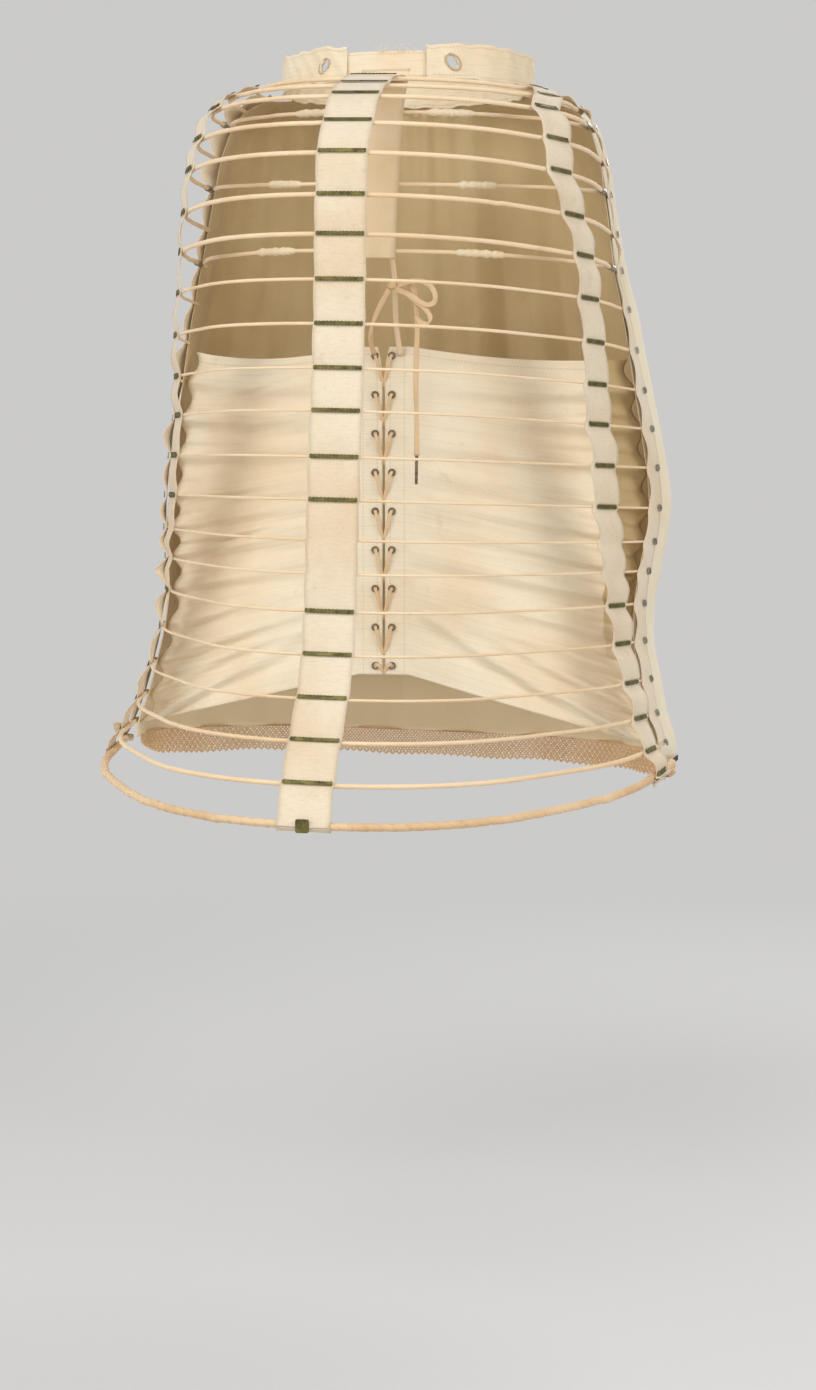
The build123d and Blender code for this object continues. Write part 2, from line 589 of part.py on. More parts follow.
# Hanging tape from the lowest inner hoop to the top of the right panel
last = inner_lines[-1]
share = along(last, HANGER_OFFSET, "middle")
top = last @ share + Vector(0, 0, -INNER_WIRE / 2 - SEAT_GAP)
beside = PANEL_GAP / 2 + EYELET_INSET + EYELET_RADIUS + SEAT_GAP + HANGER_WIDTH / 2
foot_spot = Vector(beside, -PANEL_REACH - 2 * SEAT_GAP, -PANEL_TOP - EYELET_MARGIN)
rows = []
for step in range(5):
    middle = top + (foot_spot - top) * (step / 4)
    rows.append([middle + Vector(shift, 0, 0) for shift in spread(HANGER_WIDTH, 3)])
parts["hanger_tape"] = cloth(rows, HANGER_THICK, (0, -1, 0))

# Bow of the lacing: knot, loop, lead and the long tail with its metal tag
face = (foot_spot - top).cross(Vector(1, 0, 0)).normalized()
face = face if face.Y < 0 else -face
knot = top + (foot_spot - top) * KNOT_SHARE + face * (HANGER_THICK + KNOT_RADIUS * KNOT_FLAT_SHARES[2] + SEAT_GAP)
parts["bow_knot"] = Pos(*knot) * scale(Sphere(KNOT_RADIUS), by=KNOT_FLAT_SHARES)
tail_points = [knot + Vector(step) for step in TAIL_STEPS]
loop_points = [knot + Vector(step) for step in LOOP_STEPS]
eyelet = eyelet_spots[-1][0] + Vector(0, -SEAT_GAP - EYELET_HEIGHT, 0)
lead_points = [knot + Vector(step) for step in LEAD_STEPS] + [eyelet + Vector(step) for step in LEAD_ENTRY]
for name, points in (("bow_tail", tail_points), ("bow_loop", loop_points), ("bow_lead", lead_points)):
    parts[name] = tube(bent_line(points), TAIL_WIDTH / 2)
tail_end = tail_points[-1]
hang = (tail_end - tail_points[-2]).normalized()
parts["tail_tag"] = extrude(Plane(origin=tail_end, z_dir=hang) * Circle(TAG_RADIUS), amount=TAG_LENGTH,
                            taper=0.6)

for name, shape in parts.items():
    shape.label = name
    export_step(shape, f"parts/{name}.step")
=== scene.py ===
import math
import random

import bmesh
import bpy
import numpy as np
from mathutils import Matrix, Vector, noise


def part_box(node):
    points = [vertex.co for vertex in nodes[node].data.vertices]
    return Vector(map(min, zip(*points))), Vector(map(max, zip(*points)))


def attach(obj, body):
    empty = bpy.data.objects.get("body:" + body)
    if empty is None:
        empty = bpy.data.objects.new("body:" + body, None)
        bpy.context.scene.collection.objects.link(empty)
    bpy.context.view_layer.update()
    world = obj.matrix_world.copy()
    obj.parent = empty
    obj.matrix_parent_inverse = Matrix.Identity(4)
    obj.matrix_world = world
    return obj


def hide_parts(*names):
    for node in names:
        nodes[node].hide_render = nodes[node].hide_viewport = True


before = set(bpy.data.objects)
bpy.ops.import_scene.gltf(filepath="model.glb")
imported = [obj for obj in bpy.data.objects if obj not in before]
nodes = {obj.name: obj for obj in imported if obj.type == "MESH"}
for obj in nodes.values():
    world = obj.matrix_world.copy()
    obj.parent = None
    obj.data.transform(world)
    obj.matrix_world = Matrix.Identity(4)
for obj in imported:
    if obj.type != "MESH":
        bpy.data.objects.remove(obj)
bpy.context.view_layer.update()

SIDES = (("left", -1), ("right", 1))
BACKWARD = (0, -1, 0)
DOWN = np.array([0.0, 0.0, -1.0])

# Y of a point inside every outer hoop, inside every inner hoop, and inside the apron
CAGE_HUB = -0.10
INNER_HUB = -0.03
APRON_HUB = -0.04
# Half width and half depth of the waist
WAIST_WIDE, WAIST_DEEP = 0.1145, 0.0945
HOOP_COUNT = 21
HOOP_RADII = [0.0020] * 7 + [0.00145] * 2 + [0.00115] * 6 + [0.0013] * 3 + [0.00175, 0.0021, 0.0034]
INNER_RADIUS = 0.00175
# Two hoops that no clip holds, counted from 0
LOOSE_HOOPS = (13, 14)
CLOTH_LIFT = 0.0009
CLOTH_THICK = 0.0008


# ---------- lines of the hoops ----------

def smooth_line(line, passes):
    for _ in range(passes):
        line[1:-1] = line[:-2] / 4 + line[1:-1] / 2 + line[2:] / 4
    return line


def even_line(line, count):
    run = np.concatenate([[0.0], np.cumsum(np.linalg.norm(np.diff(line, axis=0), axis=1))])
    marks = np.linspace(0.0, run[-1], count)
    return np.stack([np.interp(marks, run, line[:, i]) for i in range(3)], axis=1)


# Middle line of a solid that runs round a hub, averaged over cells of its bearing
def middle_line(name, hub, front, cell_degrees):
    spots = np.array([v.co[:] for v in nodes[name].data.vertices])
    bearing = np.degrees(np.arctan2(spots[:, 0], front * (spots[:, 1] - hub)))
    cell = np.round(bearing / cell_degrees).astype(int)
    return np.array([spots[cell == c].mean(axis=0) for c in np.unique(cell)])


class HoopLine:
    def __init__(self, name, hub):
        self.line = smooth_line(even_line(middle_line(name, hub, -1, 1.5), 241), 4)
        self.run = np.concatenate([[0.0], np.cumsum(np.linalg.norm(np.diff(self.line, axis=0), axis=1))])
        self.length = self.run[-1]

    def place(self, start, distance):
        return {"left": distance, "middle": self.length / 2 + distance, "right": self.length - distance}[start]

    def at(self, start, distance):
        return self.spot(self.place(start, distance))

    def spot(self, mark):
        mark = min(max(mark, 0.0), self.length)
        return np.array([np.interp(mark, self.run, self.line[:, i]) for i in range(3)])

    def heading(self, mark):
        step = self.spot(mark + 0.006) - self.spot(mark - 0.006)
        return step / np.linalg.norm(step)


HOOPS = [HoopLine(f"hoop_{n + 1:02d}", CAGE_HUB) for n in range(HOOP_COUNT)]
INNER = [HoopLine(f"inner_hoop_{n + 1}", INNER_HUB) for n in range(3)]


def unit(vectors):
    return vectors / np.maximum(np.linalg.norm(vectors, axis=-1, keepdims=True), 1e-9)


def waist_spot(angle, out, z):
    return np.array([(WAIST_WIDE + out) * math.cos(angle), (WAIST_DEEP + out) * math.sin(angle), z])


# Angle of the waist's back at a given X
def back_angle(x):
    return -math.acos(max(-1, min(1, x / WAIST_WIDE)))


# ---------- cloth from a grid of spots ----------

def catmull(rows, steps):
    padded = np.concatenate([2 * rows[:1] - rows[1:2], rows, 2 * rows[-1:] - rows[-2:-1]])
    fine = []
    for k in range(len(rows) - 1):
        a, b, c, d = padded[k:k + 4]
        for t in np.arange(steps) / steps:
            fine.append(b + 0.5 * t * (c - a + t * (2 * a - 5 * b + 4 * c - d + t * (3 * (b - c) + d - a))))
    fine.append(rows[-1])
    return np.array(fine)


def grid_normals(spots, hub):
    across = np.gradient(spots, axis=1)
    down = np.gradient(spots, axis=0)
    normals = unit(np.cross(across, down))
    away = spots - np.array([0.0, hub, 0.0])
    away[..., 2] = 0.0
    flip = np.sign((normals * away).sum(axis=-1).mean())
    return normals * flip


def grid_mesh(name, spots, facing, thick, hole=None):
    rows, columns = spots.shape[:2]
    bm = bmesh.new()
    cloth_uv = bm.loops.layers.uv.new("cloth")
    share_uv = bm.loops.layers.uv.new("share")
    bmesh.ops.create_grid(bm, x_segments=columns - 1, y_segments=rows - 1, size=0.5)
    wide = np.linalg.norm(np.diff(spots, axis=1), axis=2).sum(axis=1).mean()
    tall = np.linalg.norm(np.diff(spots, axis=0), axis=2).sum(axis=0).mean()
    for face in bm.faces:
        for loop in face.loops:
            u, v = loop.vert.co.x + 0.5, loop.vert.co.y + 0.5
            loop[cloth_uv].uv = (u * wide, v * tall)
            loop[share_uv].uv = (u, v)
    for vert in bm.verts:
        column, row = round((vert.co.x + 0.5) * (columns - 1)), round((vert.co.y + 0.5) * (rows - 1))
        vert.co = spots[row, column]
    bm.normal_update()
    middle = spots[rows // 2, columns // 2]
    nearest = min(bm.faces, key=lambda f: (f.calc_center_median() - Vector(middle)).length_squared)
    if nearest.normal.dot(Vector(facing)) < 0:
        bmesh.ops.reverse_faces(bm, faces=bm.faces)
    if hole:
        bmesh.ops.delete(bm, geom=[f for f in bm.faces if hole(f.calc_center_median())], context="FACES")
    surface = sum(face.calc_area() for face in bm.faces)
    piece = finish_mesh(name, bm)
    piece["flat"] = (wide, surface / wide)
    if thick:
        wall = piece.modifiers.new("thickness", "SOLIDIFY")
        wall.thickness = thick
        wall.offset = -1.0
    return piece


def put(name, data):
    piece = bpy.data.objects.new(name, data)
    bpy.context.scene.collection.objects.link(piece)
    return piece


def finish_mesh(name, bm, smooth=True):
    mesh = bpy.data.meshes.new(name)
    bm.to_mesh(mesh)
    bm.free()
    for polygon in mesh.polygons:
        polygon.use_smooth = smooth
    piece = put(name, mesh)
    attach(piece, "root")
    return piece


def dress(piece, material):
    piece.data.materials.clear()
    piece.data.materials.append(material)


# ---------- finishes ----------

class Tree:
    def __init__(self, tree):
        self.tree = tree

    # A node with its settings, and with values for its inputs under names that begin with in_
    def node(self, kind, **values):
        node = self.tree.nodes.new("ShaderNode" + kind)
        for key, value in values.items():
            if key.startswith("in_"):
                self.feed(node.inputs[key[3:].replace("_", " ")], value)
            else:
                setattr(node, key, value)
        return node

    # A number, a colour or another node's output goes into an input
    def feed(self, socket, value):
        if isinstance(value, (int, float, tuple)):
            socket.default_value = value
        else:
            self.tree.links.new(value, socket)

    def split(self, vector):
        return self.node("SeparateXYZ", in_Vector=vector).outputs

    def math(self, operation, a, b=None):
        node = self.node("Math", operation=operation)
        self.feed(node.inputs[0], a)
        if b is not None:
            self.feed(node.inputs[1], b)
        return node.outputs[0]

    def times(self, a, b):
        return self.math("MULTIPLY", a, b)

    def noise(self, vector, scale, detail=3.0, rough=0.55):
        node = self.node("TexNoise", in_Vector=vector, in_Scale=scale, in_Detail=detail, in_Roughness=rough)
        return node.outputs["Fac"]

    def ramp(self, value, low, high):
        node = self.node("MapRange", interpolation_type="SMOOTHSTEP", in_Value=value, in_From_Min=low,
                         in_From_Max=high)
        return node.outputs["Result"]

    def spread(self, value, low, high):
        return self.node("MapRange", in_Value=value, in_To_Min=low, in_To_Max=high).outputs["Result"]

    def mix(self, share, a, b, blend="MIX"):
        node = self.node("Mix", data_type="RGBA", blend_type=blend)
        for place, value in ((0, share), (6, a), (7, b)):
            self.feed(node.inputs[place], value)
        return node.outputs[2]

    def mix_shaders(self, share, a, b, target):
        node = self.node("MixShader")
        for socket, value in zip(node.inputs, (share, a, b)):
            self.feed(socket, value)
        self.feed(target, node.outputs[0])

    def relief(self, height, strength, distance, shader):
        node = self.node("Bump", in_Strength=strength, in_Distance=distance, in_Height=height)
        self.feed(shader.inputs["Normal"], node.outputs[0])


# A node group with its tree, the values given to it and the values it gives out
def new_group(name, inputs, outputs):
    group = bpy.data.node_groups.new(name, "ShaderNodeTree")
    for way, sockets in (("INPUT", inputs), ("OUTPUT", outputs)):
        for socket, kind in sockets.items():
            group.interface.new_socket(name=socket, in_out=way, socket_type=f"NodeSocket{kind}")
    given, out = group.nodes.new("NodeGroupInput").outputs, group.nodes.new("NodeGroupOutput").inputs
    return group, Tree(group), given, out


def weave_group():
    inputs = {"Vector": "Vector", "Pitch": "Float", "Slant": "Float"}
    group, t, given, out = new_group("cloth_weave", inputs, {"Height": "Float"})
    spot = t.split(given["Vector"])
    turn = t.math("DIVIDE", 2 * math.pi, given["Pitch"])
    bent = t.math("ADD", spot["X"], t.times(spot["Y"], given["Slant"]))
    warp = t.math("SINE", t.times(bent, turn))
    weft = t.math("SINE", t.times(spot["Y"], turn))
    t.feed(out["Height"], t.math("MULTIPLY_ADD", t.times(warp, weft), 0.5))
    return group


def ageing_group():
    inputs = {"Vector": "Vector", "Clean": "Color", "Yellowed": "Color", "Stain": "Color", "Amount": "Float"}
    group, t, given, out = new_group("cloth_ageing", inputs, {"Color": "Color", "Fuzz": "Float"})
    vector, amount = given["Vector"], given["Amount"]
    broad = t.ramp(t.noise(vector, 9.0, 4.0), 0.38, 0.72)
    spots = t.ramp(t.noise(vector, 55.0, 5.0, 0.65), 0.60, 0.78)
    fuzz = t.noise(vector, 900.0, 2.0)
    first = t.mix(t.times(broad, amount), given["Clean"], given["Yellowed"])
    second = t.mix(t.times(t.times(spots, 0.22), amount), first, given["Stain"])
    grain = t.spread(fuzz, 0.90, 1.06)
    shade = t.node("CombineColor", in_Red=grain, in_Green=grain, in_Blue=grain)
    t.feed(out["Color"], t.mix(1.0, second, shade.outputs[0], "MULTIPLY"))
    t.feed(out["Fuzz"], fuzz)
    return group


STITCH_LENGTH = 0.0032
WEAVE = weave_group()
AGEING = ageing_group()


def rgb(r, g, b):
    linear = [(c / 255) ** 2.2 for c in (r, g, b)]
    return (*linear, 1.0)


def new_finish(name):
    material = bpy.data.materials.new(name)
    material.use_nodes = True
    return material, Tree(material.node_tree), material.node_tree.nodes["Principled BSDF"]


# Place on the cloth as shares of its width and height
def share_axes(t):
    return t.split(t.node("UVMap", uv_map="share").outputs[0])


def cloth_finish(name, clean, yellowed, stain_and_shade, pitch, slant=0.0, amount=1.0, edge=0.0, bump=0.35, uv=True,
                 streak=None, stitches=(), painted_light_below=None, painted_shade_strip=None):
    material, t, shader = new_finish(name)
    clean, yellowed, stain_and_shade = rgb(*clean), rgb(*yellowed), rgb(*stain_and_shade)
    spot = t.node("TexCoord").outputs["Object"]
    along = t.node("UVMap", uv_map="cloth").outputs[0] if uv else spot
    aged = t.node("Group", node_tree=AGEING, in_Vector=spot, in_Clean=clean, in_Yellowed=yellowed, in_Stain=stain_and_shade,
                  in_Amount=amount)
    weave = t.node("Group", node_tree=WEAVE, in_Vector=along, in_Pitch=pitch, in_Slant=slant)
    colour = aged.outputs["Color"]
    if edge:
        side = t.math("ABSOLUTE", t.math("SUBTRACT", share_axes(t)["X"], 0.5))
        colour = t.mix(t.times(t.ramp(side, 0.36, 0.5), edge), colour, stain_and_shade)
    # Painted shade: the cloth's outer strip, from its top down to where it fades, takes a darker tone standing for
    # the shaded apron inside seen beyond it
    if painted_shade_strip:
        tone, wide, top, foot = painted_shade_strip
        share = share_axes(t)
        beside = t.ramp(t.math("SUBTRACT", wide, share["X"]), -0.004, 0.004)
        above = t.math("SUBTRACT", 1.0, t.ramp(share["Y"], top, foot))
        colour = t.mix(t.times(beside, above), colour, rgb(*tone))
    # Painted light: lower down the colour turns to a paler tone, where light reaches the cloth
    if painted_light_below:
        tone, start, full = painted_light_below
        drop = t.times(t.split(spot)["Z"], -1.0)
        colour = t.mix(t.ramp(drop, start, full), colour, rgb(*tone))
    threads = t.math("MULTIPLY_ADD", weave.outputs["Height"], 0.5)
    if streak:
        stretch = t.node("Mapping", in_Vector=along, in_Scale=streak)
        slubs = t.ramp(t.noise(stretch.outputs[0], 1.0, 4.0, 0.6), 0.42, 0.72)
        colour = t.mix(t.times(slubs, 0.12), colour, stain_and_shade)
        threads = t.math("ADD", threads, t.times(slubs, 0.25))
    for axis, place, half in stitches:
        off = t.math("ABSOLUTE", t.math("SUBTRACT", share_axes(t)[axis], place))
        on_line = t.math("LESS_THAN", off, half)
        other = "X" if axis == "Y" else "Y"
        wave = t.math("SINE", t.times(t.split(along)[other], 2 * math.pi / STITCH_LENGTH))
        stitch = t.times(on_line, t.math("GREATER_THAN", wave, -0.35))
        colour = t.mix(t.times(stitch, 0.32), colour, stain_and_shade)
        threads = t.math("SUBTRACT", threads, t.times(on_line, 1.2))
        threads = t.math("ADD", threads, t.times(stitch, 1.6))
    # Painted shade: the hollows between the threads are darkened towards the stain colour
    gaps = t.ramp(weave.outputs["Height"], -0.55, 0.1)
    colour = t.mix(t.times(t.math("SUBTRACT", 1.0, gaps), 0.25), colour, stain_and_shade)
    t.feed(shader.inputs["Base Color"], colour)
    t.relief(t.math("ADD", threads, t.times(aged.outputs["Fuzz"], 0.6)), bump, 0.0004, shader)
    for socket, value in (("Roughness", 0.92), ("Sheen Weight", 0.15), ("Specular IOR Level", 0.2)):
        t.feed(shader.inputs[socket], value)
    return material


def metal_finish(name, colour, dull, dark, rough, metallic=0.9):
    material, t, shader = new_finish(name)
    spot = t.node("TexCoord").outputs["Object"]
    worn = t.ramp(t.noise(spot, 160.0, 5.0, 0.65), 0.35, 0.70)
    pits = t.ramp(t.noise(spot, 700.0, 3.0), 0.55, 0.75)
    shade = t.mix(worn, rgb(*colour), rgb(*dull))
    shade = t.mix(t.times(pits, 0.7), shade, rgb(*dark))
    t.feed(shader.inputs["Base Color"], shade)
    t.feed(shader.inputs["Roughness"], t.spread(worn, rough - 0.12, rough + 0.2))
    t.relief(pits, 0.25, 0.0003, shader)
    t.feed(shader.inputs["Metallic"], metallic)
    return material


# Lines of stitching: the axis each is measured along, its place as a share of the cloth, and half its width
PANEL_HEMS = (("Y", 0.022, 0.0016), ("X", 0.905, 0.0022), ("X", 0.975, 0.0022))
BAND_SEAMS = (("Y", 0.10, 0.014), ("Y", 0.90, 0.014))


# facing, when given, is a painted-shade strip: its tone, its width as a share, and the two heights where it fades out
def panel_finish(name, facing=None):
    return cloth_finish(name, (238, 224, 197), (229, 206, 170), (176, 138, 92), pitch=0.0009, amount=0.8, bump=0.4,
                        streak=(9.0, 340.0, 1.0), stitches=PANEL_HEMS, painted_shade_strip=facing)


TAPE = cloth_finish("tape_herringbone", (229, 213, 187), (220, 197, 164), (160, 124, 82), pitch=0.0012, slant=1.0,
                    edge=0.12, bump=0.5, streak=(130.0, 620.0, 1.0))
INNER_TAPE = cloth_finish("inner_tape_cotton", (234, 211, 174), (219, 192, 150), (140, 108, 70), pitch=0.0011,
                          slant=1.0, amount=0.9, edge=0.2)
# The right panel's outer strip is tinted darker khaki: painted shade of the apron's inside beyond it
PANEL = {"left": panel_finish("panel_cotton"),
         "right": panel_finish("panel_cotton_painted_shade", ((184, 160, 116), 0.125, 0.62, 0.84))}
APRON = cloth_finish("apron_cotton", (236, 222, 194), (224, 204, 168), (166, 130, 88), pitch=0.0009, amount=0.45,
                     bump=0.3, uv=False)
# Inner faces of the apron: a darker khaki that is painted shade of the apron's inside, turning paler lower down as
# painted light
APRON_INSIDE_SHADE = cloth_finish("apron_inside_painted_shade", (204, 180, 136), (186, 158, 112), (140, 108, 68), pitch=0.0009, amount=0.6,
                      bump=0.3, uv=False, painted_light_below=((242, 220, 180), 0.50, 0.59))
BAND = cloth_finish("band_twill", (240, 225, 196), (230, 206, 167), (160, 124, 82), pitch=0.0013, slant=1.0,
                    amount=0.9, bump=0.6, streak=(40.0, 500.0, 1.0), stitches=BAND_SEAMS)
HOOP = cloth_finish("hoop_braid", (240, 214, 176), (229, 196, 154), (165, 122, 76), pitch=0.0016, slant=1.0,
                    amount=0.9, bump=0.5)
FOOT = cloth_finish("foot_hoop_wrap", (228, 198, 158), (208, 168, 122), (120, 84, 52), pitch=0.0050, slant=1.0,
                    bump=0.6)
LACE = cloth_finish("crochet_thread", (246, 206, 154), (238, 192, 140), (190, 140, 92), pitch=0.0010, slant=1.0,
                    amount=0.8, bump=0.6)
CORD = cloth_finish("cord_braid", (226, 194, 152), (208, 170, 125), (130, 96, 60), pitch=0.0012, slant=1.0,
                    amount=0.9, bump=0.5, uv=False)
TUFT = cloth_finish("loose_thread", (240, 230, 208), (226, 206, 172), (170, 140, 100), pitch=0.0004, amount=0.6,
                    bump=0.2, uv=False)
WINDING = cloth_finish("join_winding", (240, 222, 188), (226, 200, 160), (160, 124, 82), pitch=0.0010, amount=0.9,
                       bump=0.6, uv=False)
THREAD = cloth_finish("binding_thread", (206, 182, 146), (180, 150, 110), (110, 82, 54), pitch=0.0010, bump=0.6,
                      uv=False)
BRASS = metal_finish("dark_brass", (116, 108, 62), (84, 80, 47), (48, 45, 29), 0.58, 0.7)
SILVER = metal_finish("dull_plate", (176, 172, 160), (120, 116, 104), (70, 64, 54), 0.36)
STEEL = metal_finish("dark_steel", (92, 86, 78), (60, 54, 46), (36, 30, 24), 0.45)
BRONZE = metal_finish("eyelet_bronze", (138, 120, 98), (100, 84, 66), (54, 42, 30), 0.5, 0.7)


# ---------- tapes ----------

def lay_sheet(piece, material, node):
    dress(piece, material)
    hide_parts(node)


def cross_shifts(start, width, across):
    shifts = np.linspace(-0.5, 0.5, across) * width
    return -shifts if start == "right" else shifts


def tape_rows(lines, radii, start, centres, width, hub, across):
    shifts = cross_shifts(start, width, across)
    spots = np.array([[line.at(start, centre + s) for s in shifts] for line, centre in zip(lines, centres)])
    normals = grid_normals(spots, hub)
    return spots + normals * (np.array(radii)[:, None, None] + CLOTH_LIFT)


# Cloth bowed out and swaying between the rows that hold it, free where loose is 1 and held where it is 0
def wavy(rows, steps, hub, slack, sway, seed, loose=1.0):
    fine = catmull(rows, steps)
    sway = np.linspace(*sway, len(fine))
    normals = grid_normals(fine, hub)
    across = unit(np.gradient(fine, axis=1))
    row = np.arange(len(fine))
    gap, phase = row // steps, (row % steps) / steps
    dice = random.Random(seed)
    lift = np.array([dice.uniform(0.2, 1.0) for _ in range(len(rows) + 1)])
    lean = np.array([dice.uniform(0.5, 1.0) for _ in range(len(rows) + 1)])
    bow = np.sin(np.pi * phase) ** 2 * lift[gap]
    slide = (2 * phase - 1) * np.minimum(1, 9 * phase) * np.minimum(1, 9 * (1 - phase)) * lean[gap]
    edge = np.linspace(-1, 1, fine.shape[1])
    curl = np.outer(np.sin(np.pi * phase) * lift[gap], edge ** 2) * slack * 0.8
    fine = fine + normals * (np.outer(bow, loose * np.ones(fine.shape[1])) * slack + curl * loose)[..., None]
    return fine + across * (slide * sway)[:, None, None]


def foot_fold(rows, start, centre, width, across):
    line = HOOPS[-1]
    spots = np.array([line.at(start, centre + s) for s in cross_shifts(start, width, across)])
    away = spots - np.array([0.0, CAGE_HUB, 0.0])
    away[:, 2] = 0.0
    level = np.cross(DOWN, np.gradient(spots, axis=0))
    out = unit(level * np.sign((level * away).sum()))
    reach = HOOP_RADII[-1] + CLOTH_LIFT
    wrap = [spots + out * reach, spots + (out * 0.6 + DOWN * 0.85) * reach, spots + (out * 0.1 + DOWN) * reach * 1.05]
    return np.concatenate([rows, np.array(wrap)])


def waist_seam(width, across, out, heights):
    turns = -math.pi / 2 + np.linspace(-0.5, 0.5, across) * width / WAIST_WIDE
    return np.array([[waist_spot(a, out, z) for a in turns] for z in heights])


BACK_WIDE, INNER_WIDE, SIDE_WIDE, EDGE_WIDE = 0.044, 0.040, 0.040, 0.026
back_rows = tape_rows(HOOPS, HOOP_RADII, "middle", [0.0] * HOOP_COUNT, BACK_WIDE, CAGE_HUB, 13)
back_rows = foot_fold(back_rows, "middle", 0.0, BACK_WIDE, 13)
back_seam = waist_seam(BACK_WIDE, 13, 0.0, (-0.006, -0.0145)) + np.array([0, -0.0004, 0])
back_spots = wavy(np.concatenate([back_seam, back_rows]), 8, CAGE_HUB, 0.0013, (0.0004, 0.0012), 3)
back_tape = grid_mesh("back_tape_cloth", back_spots, BACKWARD, CLOTH_THICK)
lay_sheet(back_tape, TAPE, "back_tape")

inner_rows = tape_rows(INNER, [INNER_RADIUS] * 3, "middle", [0.0] * 3, INNER_WIDE, INNER_HUB, 9)
inner_rows = np.concatenate([waist_seam(INNER_WIDE, 9, -0.004, (-0.006, -0.015)), inner_rows,
                             inner_rows[-1:] + 0.006 * DOWN])
inner_spots = wavy(inner_rows, 12, INNER_HUB, 0.0010, (0.0, 0.0), 5)
inner_tape = grid_mesh("inner_tape_cloth", inner_spots, BACKWARD, CLOTH_THICK)
lay_sheet(inner_tape, INNER_TAPE, "inner_tape")

# Distance along each hoop from its end to the middle of the side tape, and to the middle of the edge tape
SIDE_CENTRES = 0.105 * np.interp(np.linspace(0, 10, HOOP_COUNT), range(11),
                                 (0.78, 1.43, 1.62, 1.30, 1.165, 1.095, 1.04, 0.72, 0.54, 0.52, 0.60))
EDGE_CENTRE = 0.015
EDGE_SLACK = {"left": 0.0080, "right": 0.0036}
EDGE_LOOSE = {"left": np.linspace(0.0, 1.0, 7), "right": np.linspace(1.0, 0.0, 7)}
for (start, side), seed in zip(SIDES, (11, 17)):
    rows = tape_rows(HOOPS, HOOP_RADII, start, SIDE_CENTRES, SIDE_WIDE, CAGE_HUB, 11)
    rows = foot_fold(rows, start, SIDE_CENTRES[-1], SIDE_WIDE, 11)
    rows = wavy(rows, 8, CAGE_HUB, 0.0030, (0.0010, 0.0080), seed)
    tape = grid_mesh(f"side_tape_{start}_cloth", rows, (side, 0, 0), CLOTH_THICK)
    lay_sheet(tape, TAPE, f"side_tape_{start}")
    last = 20 if start == "right" else 21
    rows = tape_rows(HOOPS[:last], HOOP_RADII[:last], start, [EDGE_CENTRE] * last, EDGE_WIDE, CAGE_HUB, 7)
    rows = wavy(rows, 8, CAGE_HUB, EDGE_SLACK[start], (0.0008, 0.0020), seed + 2, EDGE_LOOSE[start])
    edge = grid_mesh(f"edge_tape_{start}_cloth", rows, (side, 0, 0), CLOTH_THICK)
    lay_sheet(edge, TAPE, f"edge_tape_{start}")


# ---------- prongs of the clips ----------

def prongs(name, start, centres, length, count, reach, skip):
    bm = bmesh.new()
    dice = random.Random(len(name))
    for level, line in enumerate(HOOPS):
        if level in skip:
            continue
        upper, lower = HOOPS[max(level - 1, 0)], HOOPS[min(level + 1, HOOP_COUNT - 1)]
        for mark in np.linspace(-0.5, 0.5, count) * (length - 0.003):
            distance = centres[level] + mark
            here = line.place(start, distance)
            spot, head = line.spot(here), line.heading(here)
            slope = unit(lower.at(start, distance) - upper.at(start, distance))
            out = unit(np.cross(head, slope))
            out = out * np.sign(out @ (spot - np.array([0, CAGE_HUB, spot[2]])))
            for way in (-1, 1):
                at = spot + out * (HOOP_RADII[level] + 0.0024) + slope * way * (0.0010 + reach / 2)
                tooth = bmesh.ops.create_cone(bm, cap_ends=True, segments=4, radius1=0.0012, radius2=0.0005,
                                              depth=reach)["verts"]
                frame_of_tooth = Matrix((head, np.cross(slope * way, head), slope * way)).transposed().to_4x4()
                frame_of_tooth.translation = Vector(at + head * dice.uniform(-0.0004, 0.0004))
                bmesh.ops.scale(bm, vec=(1.0, 0.45, 1.0), verts=tooth)
                bmesh.ops.transform(bm, matrix=frame_of_tooth, verts=tooth)
    bmesh.ops.recalc_face_normals(bm, faces=bm.faces)
    dress(finish_mesh(name, bm, False), BRASS)


prongs("back_clip_prongs", "middle", [0.0] * HOOP_COUNT, 0.041, 13, 0.0010, LOOSE_HOOPS + (HOOP_COUNT - 1,))
for start, _ in SIDES:
    prongs(f"side_clip_prongs_{start}", start, SIDE_CENTRES, 0.030, 9, 0.0016, LOOSE_HOOPS)


# ---------- laced panels ----------

# Spot inside the hoops, a depth behind them, at a level between two of them
def inside_spot(level, distance, start, depth):
    low = min(int(level), HOOP_COUNT - 2)
    spots = []
    for number in (low, low + 1):
        line = HOOPS[number]
        mark = line.place(start, distance)
        below, above = HOOPS[min(number + 1, HOOP_COUNT - 1)], HOOPS[number - 1]
        normal = unit(np.cross(line.heading(mark), below.at(start, distance) - above.at(start, distance)))
        spot = line.spot(mark)
        normal = normal * np.sign(normal[0] * spot[0])
        spots.append(spot - normal * (HOOP_RADII[number] + depth))
    return spots[0] + (spots[1] - spots[0]) * (level - low)


EYELET_BOX = {start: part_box(f"panel_eyelets_{start}") for start, _ in SIDES}
# Y of the strips that carry the eyelets, heights of the lacing's ends, and X of the strips' outer edge
STRIP_Y = max(EYELET_BOX["left"][1][1], EYELET_BOX["right"][1][1]) + 0.0004
SEAM_TOP, SEAM_FOOT = -0.253, -0.547
STRIP_WIDE = 0.0232
# Level of the panels' top among the hoops, and how many levels they cover
PANEL_TOP, PANEL_LEVELS = 8.2, 10.8


# Creases that start at the outer edge (u = 0) and die away towards the lacing
def fold_height(u, v, ridges):
    height = 0.0
    for start, end, wide, tall, reach in ridges:
        x = (v - start - (end - start) * u) / (wide * (0.40 + 0.9 * u))
        fade = min(1.0, u / 0.05) * max(0.0, 1.0 - u / reach) ** 0.7
        height += tall * fade * (math.exp(-x * x) - 0.55 * math.exp(-(x - 1.8) ** 2))
    return height


